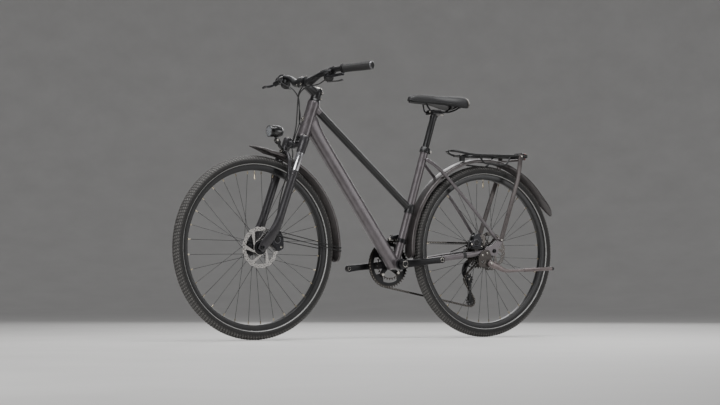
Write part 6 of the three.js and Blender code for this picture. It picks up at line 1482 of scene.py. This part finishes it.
def prisms(outlines, low, high):
    """Prisms along Y over many alike outlines in X-Z at once, each end a fan round its middle."""
    n, m = outlines.shape[:2]
    flat = np.concatenate([outlines, outlines.mean(1, keepdims=True)], 1)
    points = np.empty((n, 2, m + 1, 3))
    points[..., 0], points[..., 2] = flat[:, None, :, 0], flat[:, None, :, 1]
    points[:, 0, :, 1], points[:, 1, :, 1] = low, high
    base, k = np.arange(n)[:, None] * 2 * (m + 1), np.arange(m)[None]
    j, far = (k + 1) % m, m + 1
    walls = np.stack([base + k, base + j, base + far + j, base + far + k], -1).reshape(-1, 4)
    near_cap = np.stack([base + m + 0 * k, base + j, base + k], -1).reshape(-1, 3)
    far_cap = np.stack([base + far + m + 0 * k, base + far + k, base + far + j], -1).reshape(-1, 3)
    return closed(points.reshape(-1, 3), walls, np.vstack([near_cap, far_cap]))


def chain():
    """Inner and outer plates by turns as waisted figures of eight about the pins, with rollers and pins between.

    The links from the cogs down to the lower pulley are a piece of their own, the rest another; both stay in place on
    no body.
    """
    ahead = PINS[1:] - PINS[:-1]
    ahead /= np.linalg.norm(ahead, axis=1)[:, None]
    normal = np.column_stack([-ahead[:, 1], ahead[:, 0]])
    middle = (PINS[1:] + PINS[:-1]) / 2
    lobe = polar(4.1, np.radians([70, 110, 145, 180, 215, 250, 290])) - [CHAIN_PITCH / 2, 0]
    eight = np.vstack([[[0, 3.0]], lobe, [[0, -3.0]], -lobe])
    plates_at = middle[:, None] + eight[None, :, :1] * ahead[:, None] + eight[None, :, 1:] * normal[:, None]
    outer = np.arange(len(middle)) % 2 == 1
    by_guide = (middle[:, 1] < 329) & (middle[:, 1] > 163) & (middle[:, 0] < 90)
    circle = ring_points(1.0, 8)
    for name, stands_for, links, first, last in (
            ("chain_linked", ["chain"], ~by_guide, (155, CHAIN_SIDE, 222), (95, CHAIN_SIDE, 118)),
            ("chain_guide_run", [], by_guide, (-20, CHAIN_SIDE, 328), (57, CHAIN_SIDE, 257))):
        shells = [prisms(plates_at[links & ~outer], CHAIN_SIDE + s, CHAIN_SIDE + s + 0.7) for s in (-2.05, 1.35)]
        shells += [prisms(plates_at[links & outer], CHAIN_SIDE + s, CHAIN_SIDE + s + 0.65) for s in (-2.75, 2.1)]
        at = PINS[:-1][links][:, None]
        shells.append(prisms(at + circle * 3.8, CHAIN_SIDE - 1.3, CHAIN_SIDE + 1.3))
        pins = prisms(at + circle * 1.7, CHAIN_SIDE - 2.95, CHAIN_SIDE + 2.95)
        piece(name, [(shells, OILED_STEEL), ([pins], BRIGHT_STEEL)], ("frame", "rear_cage", first, last),
              stands_for)


def pulleys():
    """Toothed plates with five holes, each on its bush."""
    for word, centre in (("guide", GUIDE), ("tension", TENSION)):
        loops = [sprocket_loop(PULLEY_TEETH, meshing_turn(PULLEY_TEETH, centre)), ring_points(3.0, 16)]
        loops += [ring_points(2.6, 10, 0, hole) for hole in ring_points(12, 5)]
        bush = turned([[2.9, -1.9], [6.4, -1.9], [6.4, 1.9], [2.9, 1.9]], (0, 0, 0), Y, 24)
        piece(f"{word}_pulley_toothed", [([moved(flat_plate(loops, -1, 1), centre)], NYLON),
                                         ([moved(bush, centre)], BRIGHT_STEEL)],
              f"{word}_pulley", [f"{word}_pulley"], edge=0.2)


def rear_cage():
    """Two waisted plates with a window either side of the chain, the pulleys' pins and the pivot at the guide."""
    along = unit(TENSION - GUIDE)
    across = np.array([-along[2], 0, along[0]])

    def in_cage(*rows):
        """Points in X-Z at shares of the way from the guide to the tension pulley, and out to its side."""
        share, out = np.array(rows, float).T[..., None]
        return (GUIDE + (TENSION - GUIDE) * share + across * out)[:, [0, 2]]

    edge = rounded(in_cage((-0.1, -6), (0.12, -9), (0.5, -6), (0.9, -9), (1.1, -6), (1.1, 6), (0.9, 9), (0.5, 5),
                           (0.12, 9), (-0.1, 6)), 6, 5)
    window = rounded(in_cage((0.3, -3), (0.7, -3), (0.7, 2.6), (0.3, 2.6)), 3, 4)
    plates = [flat_plate([edge, window], y, y + 1.5) for y in (-51.9, -43.6)]
    guide, tension = GUIDE * IN_PLANE, TENSION * IN_PLANE
    pivot = rod(guide - Y * 51.4, guide - Y * 71.6, 4.6, 24)
    bright = [rod(at - Y * 51.4, at - Y * 42.8, 2.6, 16) for at in (guide, tension)]
    bright += [bolt(at + Y * y, way, 4.4, 1.6)
               for at, y, way in ((guide, -42.1, Y), (guide, -51.9, -Y), (tension, -51.9, -Y))]
    piece("rear_cage_stamped", [(plates + [pivot], CAST_ALLOY), (bright, BRIGHT_STEEL)], "rear_cage",
          ["rear_derailleur_cage"], edge=0.25)


def rear_derailleur():
    """Hanger bolt and knuckle turned, a body and an outer plate between them, the cable looping to its barrel."""
    hanger = np.array([5.0, -80.3, 322.0])
    knuckle = turned([[4.9, -52.4], [10, -52.4], [11, -53.4], [11, -66], [10, -69], [9.4, -73.4], [4.9, -73.4]],
                     GUIDE * IN_PLANE, Y, 36)
    cap = turned([[0, -73], [8.6, -73], [8.6, -74.4], [7, -75.4], [0, -75.4]], GUIDE * IN_PLANE, Y, 28)
    mount = turned([[0, -75], [10.4, -75], [11, -75.8], [11, -82], [10, -84], [5, -84], [4.4, -82.6], [0, -82.6]],
                   hanger * IN_PLANE, Y, 32)
    body = limb([hanger, hanger + [12, 0, -9], hanger + [26, -1, -25], [46, -72, 270], [43, -70, 252]],
                [[5, 9.6], [5.6, 11.6], [6, 12], [6, 11], [5, 9]], 7, domed, sides=28, power=3.2)
    plate = limb([hanger + [8, -4, -8], hanger + [24, -6, -26], [47, -77.5, 272], [44, -76, 256]],
                 [[1.6, 6], [1.8, 8], [1.8, 7.6], [1.6, 6]], 6, domed, sides=20, power=4)
    cable = spots(hanger + [24, 0, -20], [-2, -84.3, 292], [-52, -85.3, 312], [-46, -83.3, 366], [10, -84.3, 384],
                  [74, -78.3, 366], [118, -72.3, 352])
    barrel = ferrule(cable[0] + [-8, 0, -3.5], cable[0] + [-20, 0, -9], 3.8, 13)
    screws = [bolt(hanger + [14, -5.6, -8], -Y, 2.2, 1.4), bolt(hanger + [20, -5.8, -16], -Y, 2.2, 1.4)]
    piece("rear_derailleur_forged", [([knuckle, mount, body, cap], CAST_ALLOY), ([plate] + screws, BRIGHT_STEEL),
                                     ([line(cable, HOSE_RADIUS), barrel], HOSE_SLEEVE)],
          "frame", ["rear_derailleur"])


FRONT_PIN = seat(116, 8)


def front_derailleur():
    """A band round the seat tube, the body and knuckle beside it, and the arm that ends at the cage."""
    band = turned(collar(16.9, 20.5, 90, 106, 0.7, 0.8), SHELL, SEAT_UP, 44)
    body = limb([seat(99, 0, -18), seat(106, 4, -22), seat(114, 7, -28), seat(116, 8, -34)],
                [[6, 8], [7, 8.6], [7.2, 8], [6.6, 7]], 5, domed, side=X, sides=24, power=3)
    knuckle = turned([[3.4, -38], [6.8, -38], [7.2, -37], [7.2, -18.5], [6.8, -17.6], [3.4, -17.6]], FRONT_PIN, Y, 28)
    arm = limb([seat(116, 12, -20), [446, -20, 407], [458, -18, 403], [470, -16, 398]],
               [[5, 6], [4.4, 7], [4, 7.4], [3.6, 6]], 5, domed, sides=20, power=3)
    bright = [bolt(seat(98, 20, 2), [0.3, 1, 0], 3.6, 3),
              domed([[459, -13.6, 404], [470, -12, 397]], 1.6, 5.6, sides=18, power=3)]
    piece("front_derailleur_forged", [([band, body, knuckle, arm], CAST_ALLOY), (bright, BRIGHT_STEEL)], "frame",
          ["front_derailleur"])


def crank_arc(radius, start, end, count):
    """Points in X-Z of a circle about the bottom bracket, between two angles in degrees."""
    return SHELL[[0, 2]] + polar(radius, np.radians(np.linspace(start, end, count)))


def front_cage():
    """Two curved plates either side of the chain, a bridge over it and a pin behind it, on the knuckle's shaft."""
    side_loop = rounded(np.vstack([crank_arc(101.6, 95.4, 127, 12), crank_arc(120.8, 127, 95.4, 12)]), 2, 3)
    bridge = np.vstack([crank_arc(118.4, 95.4, 109, 8), crank_arc(120.8, 109, 95.4, 8)])
    x, z = crank_arc(104, 125, 125, 1)[0]
    cage = [flat_plate([side_loop], -41.8, -40.5), flat_plate([side_loop], -53.5, -52.2),
            flat_plate([bridge], -53.4, -40.6), rod([x, -53, z], [x, -41, z], 2.3, 16)]
    shaft = rod(FRONT_PIN - Y * 41, FRONT_PIN - Y * 25.6, 2.9, 18)
    piece("front_cage_stamped", [(cage, BRIGHT_STEEL), ([shaft], CAST_ALLOY)], "front_cage",
          ["front_derailleur_cage"], edge=0.3)


chainrings()
cranks()
cassette()
chain()
pulleys()
rear_cage()
rear_derailleur()
front_derailleur()
front_cage()

# Stage and light: name, place, what it faces, size in metres and watts of each soft box

SOFT_BOXES = [("over", (0.3, 0.6, 3.2), (0.0, 0.0, 0.4), (3.4, 2.2), 130),
              ("side", (4.6, 2.6, 1.7), (0.1, 0.0, 0.5), (2.6, 2.0), 105),
              ("behind", (-2.8, -3.0, 2.4), (0.0, 0.0, 0.5), (3.4, 2.4), 75),
              ("rear", (-2.8, 3.7, 1.2), (-0.2, 0.0, 0.4), (1.5, 1.4), 26)]


def stage():
    """A pale floor whose rim sweeps up in a quarter circle of 8 m, seen from inside."""
    sweep = np.linspace(0, np.pi / 2, 14)
    rim = np.column_stack([11.0 + 8 * np.sin(sweep), 8 * (1 - np.cos(sweep))])
    profile = np.vstack([[[0, 0], [5.0, 0]], rim, [[19.0, 10.0]]]) / METRE
    bowl, faces = turned(profile, (0, 0, 0), Z, 128)
    inside = faces[0][np.ptp(faces[0] % len(profile), axis=1) == 1]
    mesh = bpy.data.meshes.new("floor")
    mesh.from_pydata((bowl * METRE).tolist(), [], inside[:, ::-1].tolist())
    mesh.polygons.foreach_set("use_smooth", np.ones(len(mesh.polygons), bool))
    mesh.materials.append(FLOOR_PAINT)
    floor = bpy.data.objects.new("floor", mesh)
    bpy.context.scene.collection.objects.link(floor)


def light():
    """A dim grey room and the soft boxes, each turned to face its target."""
    studio = bpy.data.worlds.new("studio")
    studio.use_nodes = True
    room = studio.node_tree.nodes["Background"]
    room.inputs["Color"].default_value = linear("d6d6d8")
    room.inputs["Strength"].default_value = 0.45
    bpy.context.scene.world = studio
    for name, at, target, size, power in SOFT_BOXES:
        box = bpy.data.objects.new(f"softbox_{name}", bpy.data.lights.new(f"softbox_{name}", "AREA"))
        box.data.shape, box.data.size, box.data.size_y, box.data.energy = "RECTANGLE", *size, power
        box.location = at
        box.rotation_euler = (Vector(target) - Vector(at)).to_track_quat("-Z", "Y").to_euler()
        bpy.context.scene.collection.objects.link(box)


stage()
light()

bpy.context.view_layer.update()
